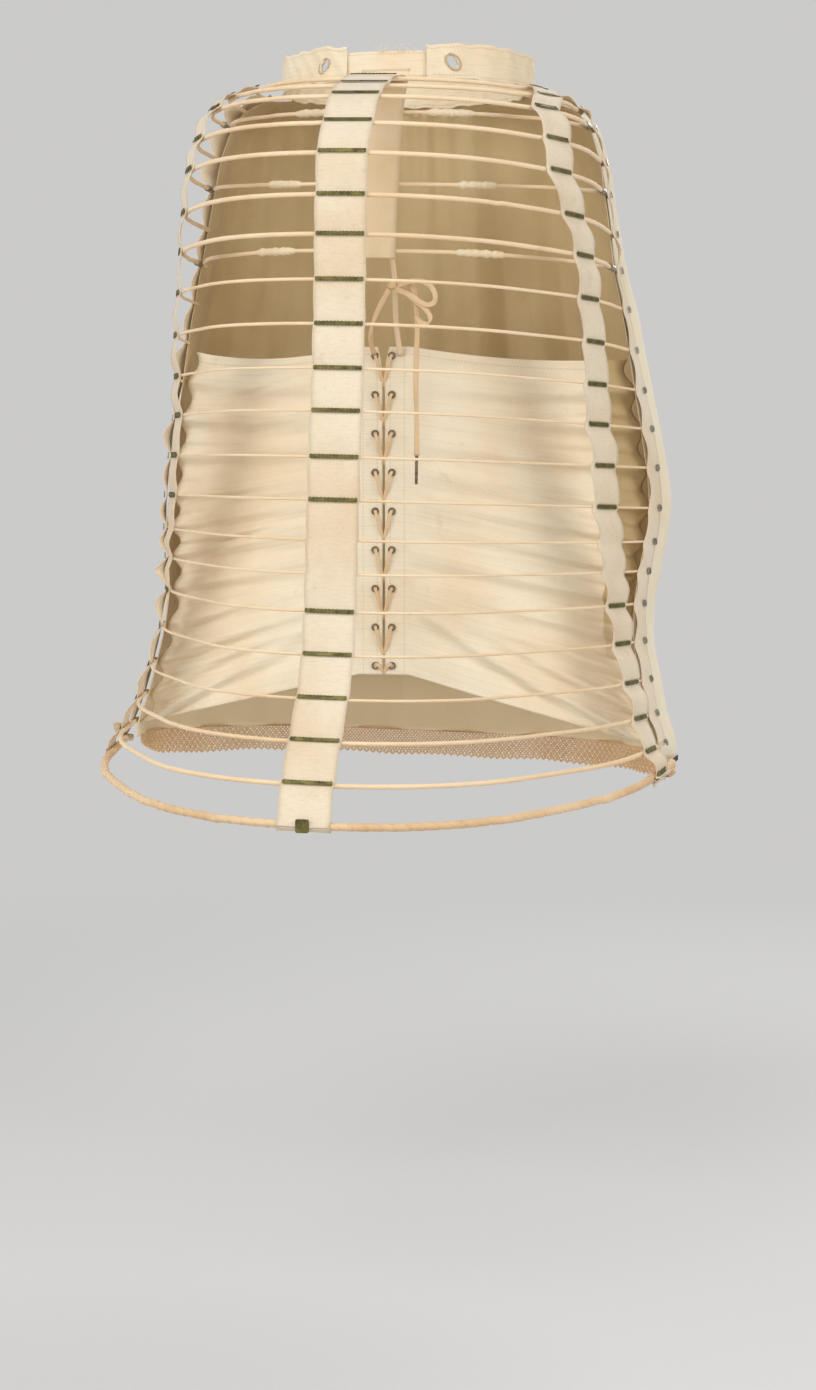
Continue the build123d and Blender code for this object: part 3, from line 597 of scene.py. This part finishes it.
def panel_ridges(seed):
    dice = random.Random(seed)
    ridges = []
    for k in range(9, 20):
        v = (k - PANEL_TOP) / PANEL_LEVELS
        pull = 0.10 * (0.5 - v) - (0.16 * (v - 0.75) / 0.25 if v > 0.75 else 0.0)
        ridges.append((v, v + pull + dice.uniform(-0.02, 0.02), 0.026,
                       dice.uniform(0.0045, 0.0085), dice.uniform(0.9, 1.4)))
        ridges.append((v + 0.05, v + 0.05 + pull * 1.3 + dice.uniform(-0.04, 0.04), 0.016,
                       dice.uniform(0.0020, 0.0045), dice.uniform(0.5, 1.1)))
    for _ in range(34):
        v = dice.uniform(0.03, 0.97)
        ridges.append((v, v + dice.uniform(-0.16, 0.08), dice.uniform(0.007, 0.012), dice.uniform(-0.0026, 0.0030),
                       dice.uniform(0.4, 1.2)))
    return ridges


def panel(start, side, seed):
    ridges = panel_ridges(seed)
    rows, columns, strip = 165, 60, 9
    spots = np.zeros((rows, columns + strip, 3))
    for r in range(rows):
        v = r / (rows - 1)
        edge = inside_spot(PANEL_TOP + PANEL_LEVELS * v, 0.012, start, 0.0020)
        seam_height = SEAM_TOP + (SEAM_FOOT - SEAM_TOP) * v
        parting = 0.0012 + 0.0042 * max(0.0, 1 - v / 0.10) ** 2
        seam_spot = np.array([side * parting, STRIP_Y, seam_height])
        inner = np.array([side * STRIP_WIDE, STRIP_Y, seam_height])
        top = (1 - v) ** 4
        for c in range(columns):
            u = c / columns
            hump = math.sin(math.pi * u)
            swell = 0.012 * hump + fold_height(u, v, ridges) * min(1.0, (1 - u) / 0.10)
            near_edge = max(0.0, 1 - u / 0.12)
            scallop = 0.004 * math.cos(2 * math.pi * (v * PANEL_LEVELS + 0.2)) * near_edge
            sag = top * hump * (0.009 if side < 0 else 0.006)
            inward = np.array([side * (scallop - 0.004) * near_edge, 0, 0])
            spots[r, c] = edge + (inner - edge) * u + np.array([0, -swell, -sag]) + inward
        for c in range(strip):
            u = c / (strip - 1)
            ripple = 0.0008 * math.sin(v * 60 + side) * (1 - u) ** 2
            spots[r, columns + c] = inner + (seam_spot - inner) * u + np.array([0, ripple, 0])
    return spots


for (start, side), seed in zip(SIDES, (31, 47)):
    piece = grid_mesh(f"panel_{start}_cloth", panel(start, side, seed), BACKWARD, CLOTH_THICK)
    lay_sheet(piece, PANEL[start], f"panel_{start}")


# ---------- apron ----------

def soft_copy(node, cuts, passes):
    bm = bmesh.new()
    bm.from_mesh(nodes[node].data)
    bmesh.ops.remove_doubles(bm, verts=bm.verts, dist=0.00002)
    bmesh.ops.join_triangles(bm, faces=bm.faces, angle_face_threshold=3.14, angle_shape_threshold=3.14,
                             cmp_seam=False, cmp_sharp=False, cmp_uvs=False, cmp_materials=False)
    bmesh.ops.subdivide_edges(bm, edges=bm.edges, cuts=cuts, use_grid_fill=True, smooth=0.0)
    for _ in range(passes):
        bmesh.ops.smooth_vert(bm, verts=bm.verts, factor=0.5, use_axis_x=True, use_axis_y=True, use_axis_z=False)
    return bm


def clamp(value):
    return max(0.0, min(1.0, value))


apron_bm = soft_copy("apron", 3, 3)
for vert in apron_bm.verts:
    x, y, z = vert.co
    bearing = math.atan2(x, y - APRON_HUB)
    out = Vector((x, y - APRON_HUB, 0)).normalized()
    front = clamp((1.75 - abs(bearing)) / 0.5)
    lower = clamp((-0.03 - z) / 0.2)
    gather = 0.0026 * math.sin(bearing * 34 + 2 * math.sin(bearing * 7))
    gather = gather * max(0.0, 1 + (z + 0.01) / 0.16) * (z < -0.02)
    small = (0.0040 * noise.noise(Vector((bearing * 7, z * 9, 2.3)))
             + 0.0016 * noise.noise(Vector((bearing * 24, z * 21, 7.1))))
    vert.co += out * (gather + small * lower) * front
    # The back edges reach under the edge tapes
    under_tape = clamp((0.025 + 0.068 * z - y) / 0.024) * clamp((z + 0.52) / 0.07) * (abs(x) > 0.12)
    vert.co += Vector((math.copysign(0.0020, x), -0.0046, 0)) * under_tape
apron = finish_mesh("apron_cloth", apron_bm)
dress(apron, APRON)
apron.data.materials.append(APRON_INSIDE_SHADE)
# Faces that turn inwards take the painted-shade finish of the apron's inside
for polygon in apron.data.polygons:
    x, y, _ = polygon.center
    if polygon.normal.x * x + polygon.normal.y * (y - APRON_HUB) < 0:
        polygon.material_index = 1
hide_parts("apron")
low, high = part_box("apron")


# ---------- waistband ----------

BAND_HEIGHT = 0.030
# X of the back flaps' edges, and of the buttonholes' middles; half width, half height and lean of each buttonhole
FLAP_X, BUTTONHOLE_X = 0.036, 0.058
BUTTONHOLES = {-1: (0.0040, 0.0068, math.radians(33)), 1: (0.0048, 0.0072, math.radians(-33))}


def hole_offset(side, x, z):
    half_wide, half_tall, lean = BUTTONHOLES[side]
    across = x - side * BUTTONHOLE_X
    return np.array([(across * math.cos(lean) - z * math.sin(lean)) / half_wide,
                     (across * math.sin(lean) + z * math.cos(lean)) / half_tall])


def hole_rim(side, offset):
    half_wide, half_tall, lean = BUTTONHOLES[side]
    across, up = offset[0] * half_wide, offset[1] * half_tall
    return (side * BUTTONHOLE_X + across * math.cos(lean) + up * math.sin(lean),
            -across * math.sin(lean) + up * math.cos(lean))


def waistband():
    first = math.acos(FLAP_X / WAIST_WIDE)
    columns, rows = 421, 27
    spots = np.zeros((rows, columns, 3))
    for c in range(columns):
        angle = -first + (math.pi + 2 * first) * c / (columns - 1)
        behind = math.sin(angle) < -0.3
        for r in range(rows):
            share = r / (rows - 1)
            x, z = WAIST_WIDE * math.cos(angle), BAND_HEIGHT * (0.5 - share)
            for side in (-1, 1):
                offset = hole_offset(side, x, z)
                size = np.linalg.norm(offset)
                if behind and 0.78 < size < 1.25:
                    x, z = hole_rim(side, offset / size)
            turn = back_angle(x) if math.sin(angle) < 0 else angle
            soft = (0.0006 * math.sin(angle * 9 + 1) + 0.0005 * math.sin(angle * 23)
                    + 0.0004 * math.sin(angle * 41 + z * 300))
            crease = 0.0004 * noise.noise(Vector((angle * 8, z * 160, 3.0)))
            rise = (0.0018 * math.exp(-((abs(x) - 0.068) / 0.024) ** 2)
                    - 0.0012 * math.exp(-((abs(x) - FLAP_X) / 0.010) ** 2))
            height = z + (soft + rise * behind) * (1 - share) - soft * share
            spots[r, c] = waist_spot(turn, 0.0022 + (soft + crease) * 0.8, height)
    return spots


def in_buttonhole(spot):
    return spot.y < 0 and any(np.linalg.norm(hole_offset(side, spot.x, spot.z)) < 0.93 for side in (-1, 1))


band = grid_mesh("waistband_cloth", waistband(), (0, 1, 0), 0.0020, in_buttonhole)
lay_sheet(band, BAND, "waistband")

insert_turns = -math.pi / 2 + np.linspace(-0.45, 0.45, 41)
insert_spots = np.array([[waist_spot(a, -0.0004, z) for a in insert_turns] for z in np.linspace(0.0100, -0.0145, 13)])
insert = grid_mesh("waistband_insert_cloth", insert_spots, BACKWARD, 0.0013)
lay_sheet(insert, BAND, "waistband_insert")


# ---------- lace along the hem ----------

LACE_COLUMNS, LACE_ROWS, LACE_DEPTH = 220, 6, 0.0225
LACE_BAND, LACE_THICK = 0.00060, 0.0009


def lace_line():
    line = middle_line("hem_lace", APRON_HUB, 1, 2.0)
    low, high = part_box("hem_lace")
    line[:, 2] = high[2] - 0.0276 * (line[:, 0] - low[0]) + 0.0006
    return even_line(smooth_line(even_line(line, 181), 6), LACE_COLUMNS + 1)


def lace_spot(row, column, hem_spot):
    share = row / LACE_ROWS
    # The net is shallower at its two ends, and every second thread makes a point at its foot
    end = min(1.0, 0.15 + min(column, LACE_COLUMNS - column) / 26)
    point = 0.0026 * (column % 2) * (row == LACE_ROWS)
    dip = 0.0008 * math.sin(column * 0.21) * share
    out = unit(np.array([hem_spot[0], hem_spot[1] - APRON_HUB, 0.0]))
    ripple = 0.0005 * (-1) ** (row + column) + 0.0012 * math.sin(column * 0.37) * share
    return hem_spot + out * ripple + DOWN * (LACE_DEPTH * share * end + point + dip)


hem = lace_line()
lace_rows = [[lace_spot(r, c, spot) for c, spot in enumerate(hem)] for r in range(LACE_ROWS + 1)]
lace = grid_mesh("hem_lace_crochet", np.array(lace_rows), (0, 1, 0), LACE_THICK)
bm = bmesh.new()
bm.from_mesh(lace.data)
straight = [e for e in bm.edges if len(e.link_faces) == 2]
bmesh.ops.poke(bm, faces=bm.faces, offset=0.0, center_mode="MEAN")
bmesh.ops.dissolve_edges(bm, edges=straight, use_verts=False, use_face_split=False)
diamonds = [f for f in bm.faces if len(f.verts) == 4]
bmesh.ops.inset_individual(bm, faces=diamonds, thickness=LACE_BAND, depth=0.0, use_even_offset=True)
bmesh.ops.delete(bm, geom=diamonds, context="FACES_ONLY")
bm.to_mesh(lace.data)
bm.free()
for polygon in lace.data.polygons:
    polygon.use_smooth = True
dress(lace, LACE)
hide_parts("hem_lace")


# ---------- lacing ----------

def flat_cord(path, facing, wide, thick, around=8):
    path = np.array(path)
    head = unit(np.gradient(path, axis=0))
    side = unit(np.cross(head, np.array(facing)))
    lift = np.cross(side, head)
    turns = np.linspace(0, 2 * math.pi, around + 1)
    return np.array([[p + s * math.cos(a) * wide / 2 + n * math.sin(a) * thick / 2 for a in turns]
                     for p, s, n in zip(path, side, lift)])


# Mesh tube from rings of spots, welded along its length and closed at its ends
def closed_tube(name, spots):
    ring = spots[len(spots) // 2]
    tube = grid_mesh(name, spots, ring[len(ring) // 2] - ring.mean(axis=0), 0.0)
    bm = bmesh.new()
    bm.from_mesh(tube.data)
    bmesh.ops.remove_doubles(bm, verts=bm.verts, dist=0.00001)
    bmesh.ops.holes_fill(bm, edges=bm.edges, sides=0)
    bmesh.ops.recalc_face_normals(bm, faces=bm.faces)
    bm.to_mesh(tube.data)
    bm.free()
    return tube


def eyelet(start, step):
    low, high = EYELET_BOX[start]
    top, foot = high[2] - 0.0034, low[2] + 0.0034
    return np.array([(low[0] + high[0]) / 2, low[1], top + (foot - top) * step / 8])


def bezier(points, count):
    a, b, c, d = (np.array(p) for p in points)
    t = np.linspace(0, 1, count)[:, None]
    return (1 - t) ** 3 * a + 3 * t * (1 - t) ** 2 * b + 3 * t ** 2 * (1 - t) * c + t ** 3 * d


LACING_STEPS = 9
strands = []
for step in range(LACING_STEPS):
    for start, side in SIDES:
        last = step == LACING_STEPS - 1
        a = eyelet(start, step)
        slit = np.array([side * 0.0007, STRIP_Y - 0.0012, a[2] - (0.004 if last else 0.022)])
        in_eyelet, in_slit = np.array([0, 0.0014, 0.0009]), slit + np.array([0, 0.0024, -0.003])
        path = bezier((a + in_eyelet, a + np.array([0, -0.00256, 0.0012]),
                       slit + np.array([side * 0.0014, -0.00224, 0.006]), in_slit), 15)
        strands.append(closed_tube(f"strand_{step}_{start}", flat_cord(path, BACKWARD, 0.0030, 0.0010)))
        if not last:
            below = eyelet(start, step + 1)
            path = bezier((in_slit, slit + np.array([0, 0.004, -0.008]),
                           below + np.array([-side * 0.003, 0.0046, 0.004]), below + in_eyelet), 11)
            strands.append(closed_tube(f"under_{step}_{start}", flat_cord(path, BACKWARD, 0.0028, 0.0010)))


def join(name, pieces):
    bm = bmesh.new()
    for piece in pieces:
        bm.from_mesh(piece.data)
        bpy.data.objects.remove(piece)
    return finish_mesh(name, bm)


# ---------- hoop covers and joins ----------

# Tube with the laps of a wrapped strip, each lap ending in a small step
def covered_hoop(name, line, radius, count, around, wrap, ridge, seed):
    path = even_line(line.line, count)
    shift = random.Random(seed).uniform(0, 9)
    spots = flat_cord(path, (0, 0, 1), 2 * radius, 2 * radius, around)
    for k in range(count):
        run = line.length * k / (count - 1)
        swell = 1 + 0.05 * noise.noise(Vector((run * 55, shift, 0)))
        for j in range(around + 1):
            turn = (run / wrap + j / around) % 1.0
            lap = 1 + ridge * (turn - 0.5) + (-1.6 * ridge if turn < 0.12 else 0.0)
            spots[k, j] = path[k] + (spots[k, j] - path[k]) * swell * lap
    hoop = closed_tube(f"{name}_cover", spots)
    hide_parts(name)
    return hoop


# Rings of a cover, corners of each ring, length of one lap of its strip, and the step at the lap's end
PLAIN_COVER, FOOT_COVER, INNER_COVER = (241, 9, 0.004, 0.0), (1201, 14, 0.0115, 0.10), (181, 9, 0.004, 0.0)
for n, line in enumerate(HOOPS):
    lowest = n == HOOP_COUNT - 1
    hoop = covered_hoop(f"hoop_{n + 1:02d}", line, HOOP_RADII[n], *(FOOT_COVER if lowest else PLAIN_COVER), n)
    dress(hoop, FOOT if lowest else HOOP)
for n, line in enumerate(INNER):
    hoop = covered_hoop(f"inner_hoop_{n + 1}", line, INNER_RADIUS, *INNER_COVER, 40 + n)
    dress(hoop, HOOP)

JOIN_RINGS = 91
joins = []
for n, (line, share) in enumerate(zip(INNER, (0.65, 0.94, 1.0))):
    for _, side in SIDES:
        middle = line.length / 2 + side * 0.095 * share
        long = 0.019 * (1.15 if (n + side) % 2 else 0.95)
        path = np.array([line.spot(middle + m) for m in np.linspace(-long, long, JOIN_RINGS)])
        spots = flat_cord(path, (0, 0, 1), 0.0064, 0.0064, 12)
        for k in range(JOIN_RINGS):
            m = k / (JOIN_RINGS - 1)
            lumps = (0.26 * noise.noise(Vector((m * 9, n * 3 + side, 1)))
                     + 0.12 * noise.noise(Vector((m * 31, n * 3 + side, 5))))
            bulge = 0.60 + 0.42 * min(1.0, 7 * m, 7 * (1 - m)) + lumps
            for j in range(13):
                wind = 1 + 0.075 * math.sin(2 * math.pi * (k / 3.4 + j / 12))
                spots[k, j] = path[k] + (spots[k, j] - path[k]) * bulge * wind
        joins.append(closed_tube(f"join_{n}_{side}", spots))
hoop_joins = join("hoop_join_winding", joins)
dress(hoop_joins, WINDING)
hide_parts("hoop_joins")


# ---------- stitching and loose threads of the waistband ----------

def thread_tube(name, points, wide, thick, count):
    rows = catmull(np.array(points, dtype=float)[:, None, :], max(2, count // (len(points) - 1)))[:, 0, :]
    return closed_tube(name, flat_cord(rows, BACKWARD, wide, thick, 4))


RIM_RINGS = 121
rims = []
for _, side in SIDES:
    path = []
    for a in np.linspace(0, 2 * math.pi, RIM_RINGS):
        x, z = hole_rim(side, np.array([math.cos(a), math.sin(a)]) * 1.06)
        path.append(waist_spot(back_angle(x), 0.0026, z))
    spots = flat_cord(path, BACKWARD, 0.0018, 0.0011, 7)
    for k in range(RIM_RINGS):
        stitch = 1 + 0.16 * math.sin(k * 2 * math.pi / 4)
        spots[k] = path[k] + (spots[k] - path[k]) * stitch
    rims.append(closed_tube(f"rim_{side}", spots))
rim = join("buttonhole_stitching", rims)
dress(rim, THREAD)

frays = []
dice = random.Random(5)
for n in range(20):
    x = dice.choice((dice.uniform(-0.006, 0.002), dice.uniform(0.012, 0.027)))
    foot = waist_spot(back_angle(x), 0.0001, 0.0085)
    rise, lean = dice.uniform(0.003, 0.009), dice.uniform(-0.007, 0.007)
    tip = np.array([lean * 1.1, -0.0012 + dice.uniform(-0.001, 0.001), rise * dice.uniform(0.7, 1.1)])
    points = [foot, foot + np.array([lean * 0.2, -0.0006, rise * 0.5]),
              foot + np.array([lean * 0.7, -0.0012, rise * 0.9]), foot + tip]
    frays.append(thread_tube(f"fray_{n}", points, 0.00034, 0.00030, 12))
fray = join("insert_frayed_threads", frays)
dress(fray, TUFT)


# ---------- bow of the lacing ----------

lacing = join("lacing_cord", strands)
dress(lacing, CORD)
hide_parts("lacing")

KNOT = sum((Vector(corner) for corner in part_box("bow_knot")), Vector()) / 2
# Control points of the ribbon's routes in millimetres from the knot, and of the lead's entry from its eyelet
TAIL_STEPS = ((4.1, -0.4, 2.2), (15.0, -2.6, 4.0), (22.0, -4.6, -7.0), (23.5, -6.1, -37.0), (21.5, -5.6, -83.0),
              (23.0, -5.6, -123.0), (22.6, -5.6, -150.0))
LOOP_STEPS = ((4.6, -2.0, -1.0), (18.0, -9.6, 4.0), (36.0, -12.6, 1.0), (43.0, -12.6, -15.0), (32.0, -11.6, -20.0),
              (16.0, -9.1, -7.5), (4.0, -3.2, -4.2))
LEAD_STEPS = ((-3.1, -1.2, -3.3), (-11.0, -0.6, -17.0), (-21.0, 7.4, -33.0))
LEAD_ENTRY = ((-1.8, -11.0, 9.0), (0.0, -1.9, 1.6))
SMALL_LOOP_STEPS = ((3.4, -1.8, -1.6), (11.0, -6.0, -6.0), (24.0, -10.5, -15.0), (36.5, -12.0, -26.0),
                    (35.0, -12.0, -36.0), (24.5, -9.5, -33.0), (22.8, -6.6, -27.0))


def free_cord(name, points, width, twist):
    curve = bpy.data.curves.new(name, "CURVE")
    curve.dimensions = "3D"
    spline = curve.splines.new("NURBS")
    spline.points.add(len(points) - 1)
    for point, spot in zip(spline.points, points):
        point.co = (*spot, 1.0)
    spline.order_u = 3
    spline.use_endpoint_u = True
    curve.resolution_u = 12
    piece = put(name, curve)
    line = bpy.data.meshes.new_from_object(piece)
    path = [v.co.copy() for v in line.vertices]
    bpy.data.objects.remove(piece)
    share = np.linspace(0, 1, len(path))
    angle = np.interp(share, np.linspace(0, 1, len(twist)), np.radians(twist))
    facing = np.stack([np.sin(angle), -np.cos(angle), 0.35 * np.ones(len(path))], axis=1)
    return closed_tube(name, flat_cord(path, facing, width, 0.0011, 10)), path


def from_knot(steps):
    return [KNOT + Vector(step) / 1000 for step in steps]


RIBBON = 0.0048
first_eyelet = Vector(eyelet("left", 0))
routes = {"bow_tail": from_knot(TAIL_STEPS), "bow_loop": from_knot(LOOP_STEPS),
          "bow_lead": from_knot(LEAD_STEPS) + [first_eyelet + Vector(step) / 1000 for step in LEAD_ENTRY]}
for node, far_end, twist in (("bow_tail", "fitting", (0, 10, 35, -20, 25, -30, 0)),
                             ("bow_loop", "object", (0, 20, -35, 50, 30, -20, 0)),
                             ("bow_lead", "object", (0, 30, -40, 20, 0))):
    piece, path = free_cord(f"{node}_line", routes[node], RIBBON, twist)
    dress(piece, CORD)
    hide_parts(node)

# Knot of the bow: three wraps of the same flat cord, and its second, smaller loop
# Each wrap: the two directions it goes round in, and how far it reaches in each
WRAPS = (((1, 0, 0), 0.0026, (0, -0.7, 0.7), 0.0022), ((0.5, -0.2, 0.8), 0.0027, (0.8, -0.4, -0.4), 0.0017),
         ((0.3, -0.8, -0.5), 0.0021, (0.9, 0.2, 0.3), 0.0024))
wraps = []
for n, (across, wide, up, tall) in enumerate(WRAPS):
    across, up = unit(np.array(across, dtype=float)) * wide, unit(np.array(up, dtype=float)) * tall
    path = [np.array(KNOT) + across * math.cos(a) + up * math.sin(a) for a in np.linspace(0, 2 * math.pi, 29)]
    wraps.append(closed_tube(f"wrap_{n}", flat_cord(path, (0.2, -1, 0.3), 0.0042, 0.0014, 8)))
small_loop, _ = free_cord("small_loop", from_knot(SMALL_LOOP_STEPS), RIBBON, (0, 25, -20, 35, -60, -20, 0))
knot = join("bow_knot_wraps", [*wraps, small_loop])
dress(knot, CORD)
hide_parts("bow_knot")


# ---------- worn right end of the lowest hoop: a tack, and frayed threads at the bare steel ----------

foot_line = HOOPS[-1]
tack_bm = bmesh.new()
bmesh.ops.create_cone(tack_bm, cap_ends=True, segments=14, radius1=0.0019, radius2=0.0008, depth=0.0060)
bmesh.ops.bevel(tack_bm, geom=list(tack_bm.edges), offset=0.0002, segments=2, profile=0.5, affect="EDGES",
                material=-1)
tack_at = Vector(foot_line.at("right", 0.034)) + Vector((0.0020, -0.0012, -0.0042))
bmesh.ops.transform(tack_bm, matrix=Matrix.Translation(tack_at), verts=tack_bm.verts)
tack = finish_mesh("foot_tack", tack_bm)
dress(tack, STEEL)

low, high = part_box("foot_steel")
foot_tip, foot_heading = foot_line.spot(foot_line.length), foot_line.heading(foot_line.length)
steel_reach = (high[1] - low[1]) / abs(foot_heading[1])
tatters = []
dice = random.Random(9)
for n in range(16):
    share = dice.choice((dice.uniform(-0.10, 0.12), dice.uniform(0.92, 1.0)))
    at = foot_tip + foot_heading * share * steel_reach + np.array([0.0014, 0, dice.uniform(-0.0020, 0.0020)])
    drift = np.array([dice.uniform(-0.004, 0.004), dice.uniform(-0.004, 0.004), dice.uniform(-0.006, 0.004)])
    points = [at, at + drift * 0.5 + np.array([0, -0.001, 0]), at + drift]
    tatters.append(thread_tube(f"tatter_{n}", points, 0.0006, 0.0004, 8))
tatter = join("foot_frayed_threads", tatters)
dress(tatter, THREAD)


# ---------- hanging tape ----------

HANGER_HALF = 0.0025
low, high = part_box("hanger_tape")
hanger_x = (low[0] + high[0]) / 2
top_middle = np.array([hanger_x + 0.0004, low[1] + 0.0008, high[2]])
foot_middle = np.array([hanger_x - 0.0004, high[1] - 0.0006, low[2]])
hanger_rows = []
for v in np.linspace(0, 1, 33):
    wander = np.array([0.0010 * math.sin(v * 7), -0.0006 * math.sin(v * 9), 0])
    middle = top_middle + (foot_middle - top_middle) * v + wander
    hanger_rows.append([middle + np.array([s * HANGER_HALF, 0.0006 * s ** 2, 0]) for s in np.linspace(-1, 1, 7)])
hanger = grid_mesh("hanger_tape_cloth", np.array(hanger_rows), BACKWARD, 0.0007)
dress(hanger, INNER_TAPE)
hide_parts("hanger_tape")


# ---------- finishes of the solid pieces ----------

for material, names in ((SILVER, ("hoop_sleeves", "edge_rivets_left", "edge_rivets_right")),
                        (BRASS, ("back_clips", "side_clips_left", "side_clips_right", "foot_clip")),
                        (STEEL, ("foot_steel", "foot_collar")),
                        (BRONZE, ("tail_tag", "panel_eyelets_left", "panel_eyelets_right"))):
    for name in names:
        for place in nodes[name].material_slots:
            place.material = material


# ---------- floor, light and camera ----------

FLOOR_HEIGHT = -1.07
PALE_WALL = (0.60, 0.595, 0.59, 1)

floor_bm = bmesh.new()
bmesh.ops.create_grid(floor_bm, x_segments=2, y_segments=2, size=9.0)
for vert in floor_bm.verts:
    vert.co.z = FLOOR_HEIGHT
floor_mesh = bpy.data.meshes.new("floor")
floor_bm.to_mesh(floor_mesh)
floor_bm.free()
put("floor", floor_mesh)

# Floor that fades into the wall's tone away from the middle
pale, t, shader = new_finish("pale_floor")
floor_mesh.materials.append(pale)
t.feed(shader.inputs["Base Color"], (0.62, 0.61, 0.60, 1))
t.feed(shader.inputs["Roughness"], 0.8)
far = t.node("VectorMath", operation="LENGTH", in_Vector=t.node("TexCoord").outputs["Object"])
glow = t.node("Emission", in_Color=PALE_WALL)
straight_view = t.node("LightPath").outputs["Is Camera Ray"]
t.mix_shaders(t.times(t.ramp(far.outputs["Value"], 1.3, 2.6), straight_view), shader.outputs[0], glow.outputs[0],
              pale.node_tree.nodes["Material Output"].inputs["Surface"])

# Soft light all round, and a plain wall where the surroundings are seen or mirrored
world = bpy.data.worlds.new("studio")
bpy.context.scene.world = world
world.use_nodes = True
t = Tree(world.node_tree)
soft = world.node_tree.nodes["Background"]
t.feed(soft.inputs["Color"], (0.95, 0.97, 1.0, 1))
t.feed(soft.inputs["Strength"], 0.42)
wall = t.node("Background", in_Color=PALE_WALL)
rays = t.node("LightPath").outputs
mirrored = t.math("MAXIMUM", rays["Is Glossy Ray"], rays["Is Transmission Ray"])
t.mix_shaders(t.math("MAXIMUM", rays["Is Camera Ray"], mirrored), soft.outputs[0], wall.outputs[0],
              world.node_tree.nodes["World Output"].inputs["Surface"])


def lamp(name, spot, aim, size, power):
    light = bpy.data.lights.new(name, "AREA")
    light.shape = "DISK"
    light.size = size
    light.energy = power
    piece = put(name, light)
    piece.location = spot
    piece.rotation_euler = (Vector(aim) - Vector(spot)).to_track_quat("-Z", "Y").to_euler()


CAGE_MIDDLE = (0, -0.2, -0.35)
lamp("key_light", (-0.6, -2.4, 1.9), CAGE_MIDDLE, 2.2, 42)
lamp("side_light", (-2.2, -1.8, 0.3), CAGE_MIDDLE, 1.6, 24)
lamp("fill_light", (2.4, -1.5, 0.6), CAGE_MIDDLE, 1.6, 34)
lamp("low_light", (0.2, -2.4, -0.85), (0, 0.05, -0.55), 1.4, 7)
lamp("front_light", (0.6, 2.8, 1.2), (0, 0, -0.3), 1.8, 45)

camera = bpy.data.cameras.new("camera")
camera.lens = 71.8
camera.clip_start = 0.05
view = put("camera", camera)
view.location = (0.5406, -2.5431, -0.390)
tilt, turn = math.radians(4.02), math.radians(12)
look = Vector((-math.sin(turn) * math.cos(tilt), math.cos(turn) * math.cos(tilt), -math.sin(tilt)))
view.rotation_euler = look.to_track_quat("-Z", "Y").to_euler()
bpy.context.scene.camera = view
bpy.context.scene.view_settings.view_transform = "Standard"

bpy.context.view_layer.update()
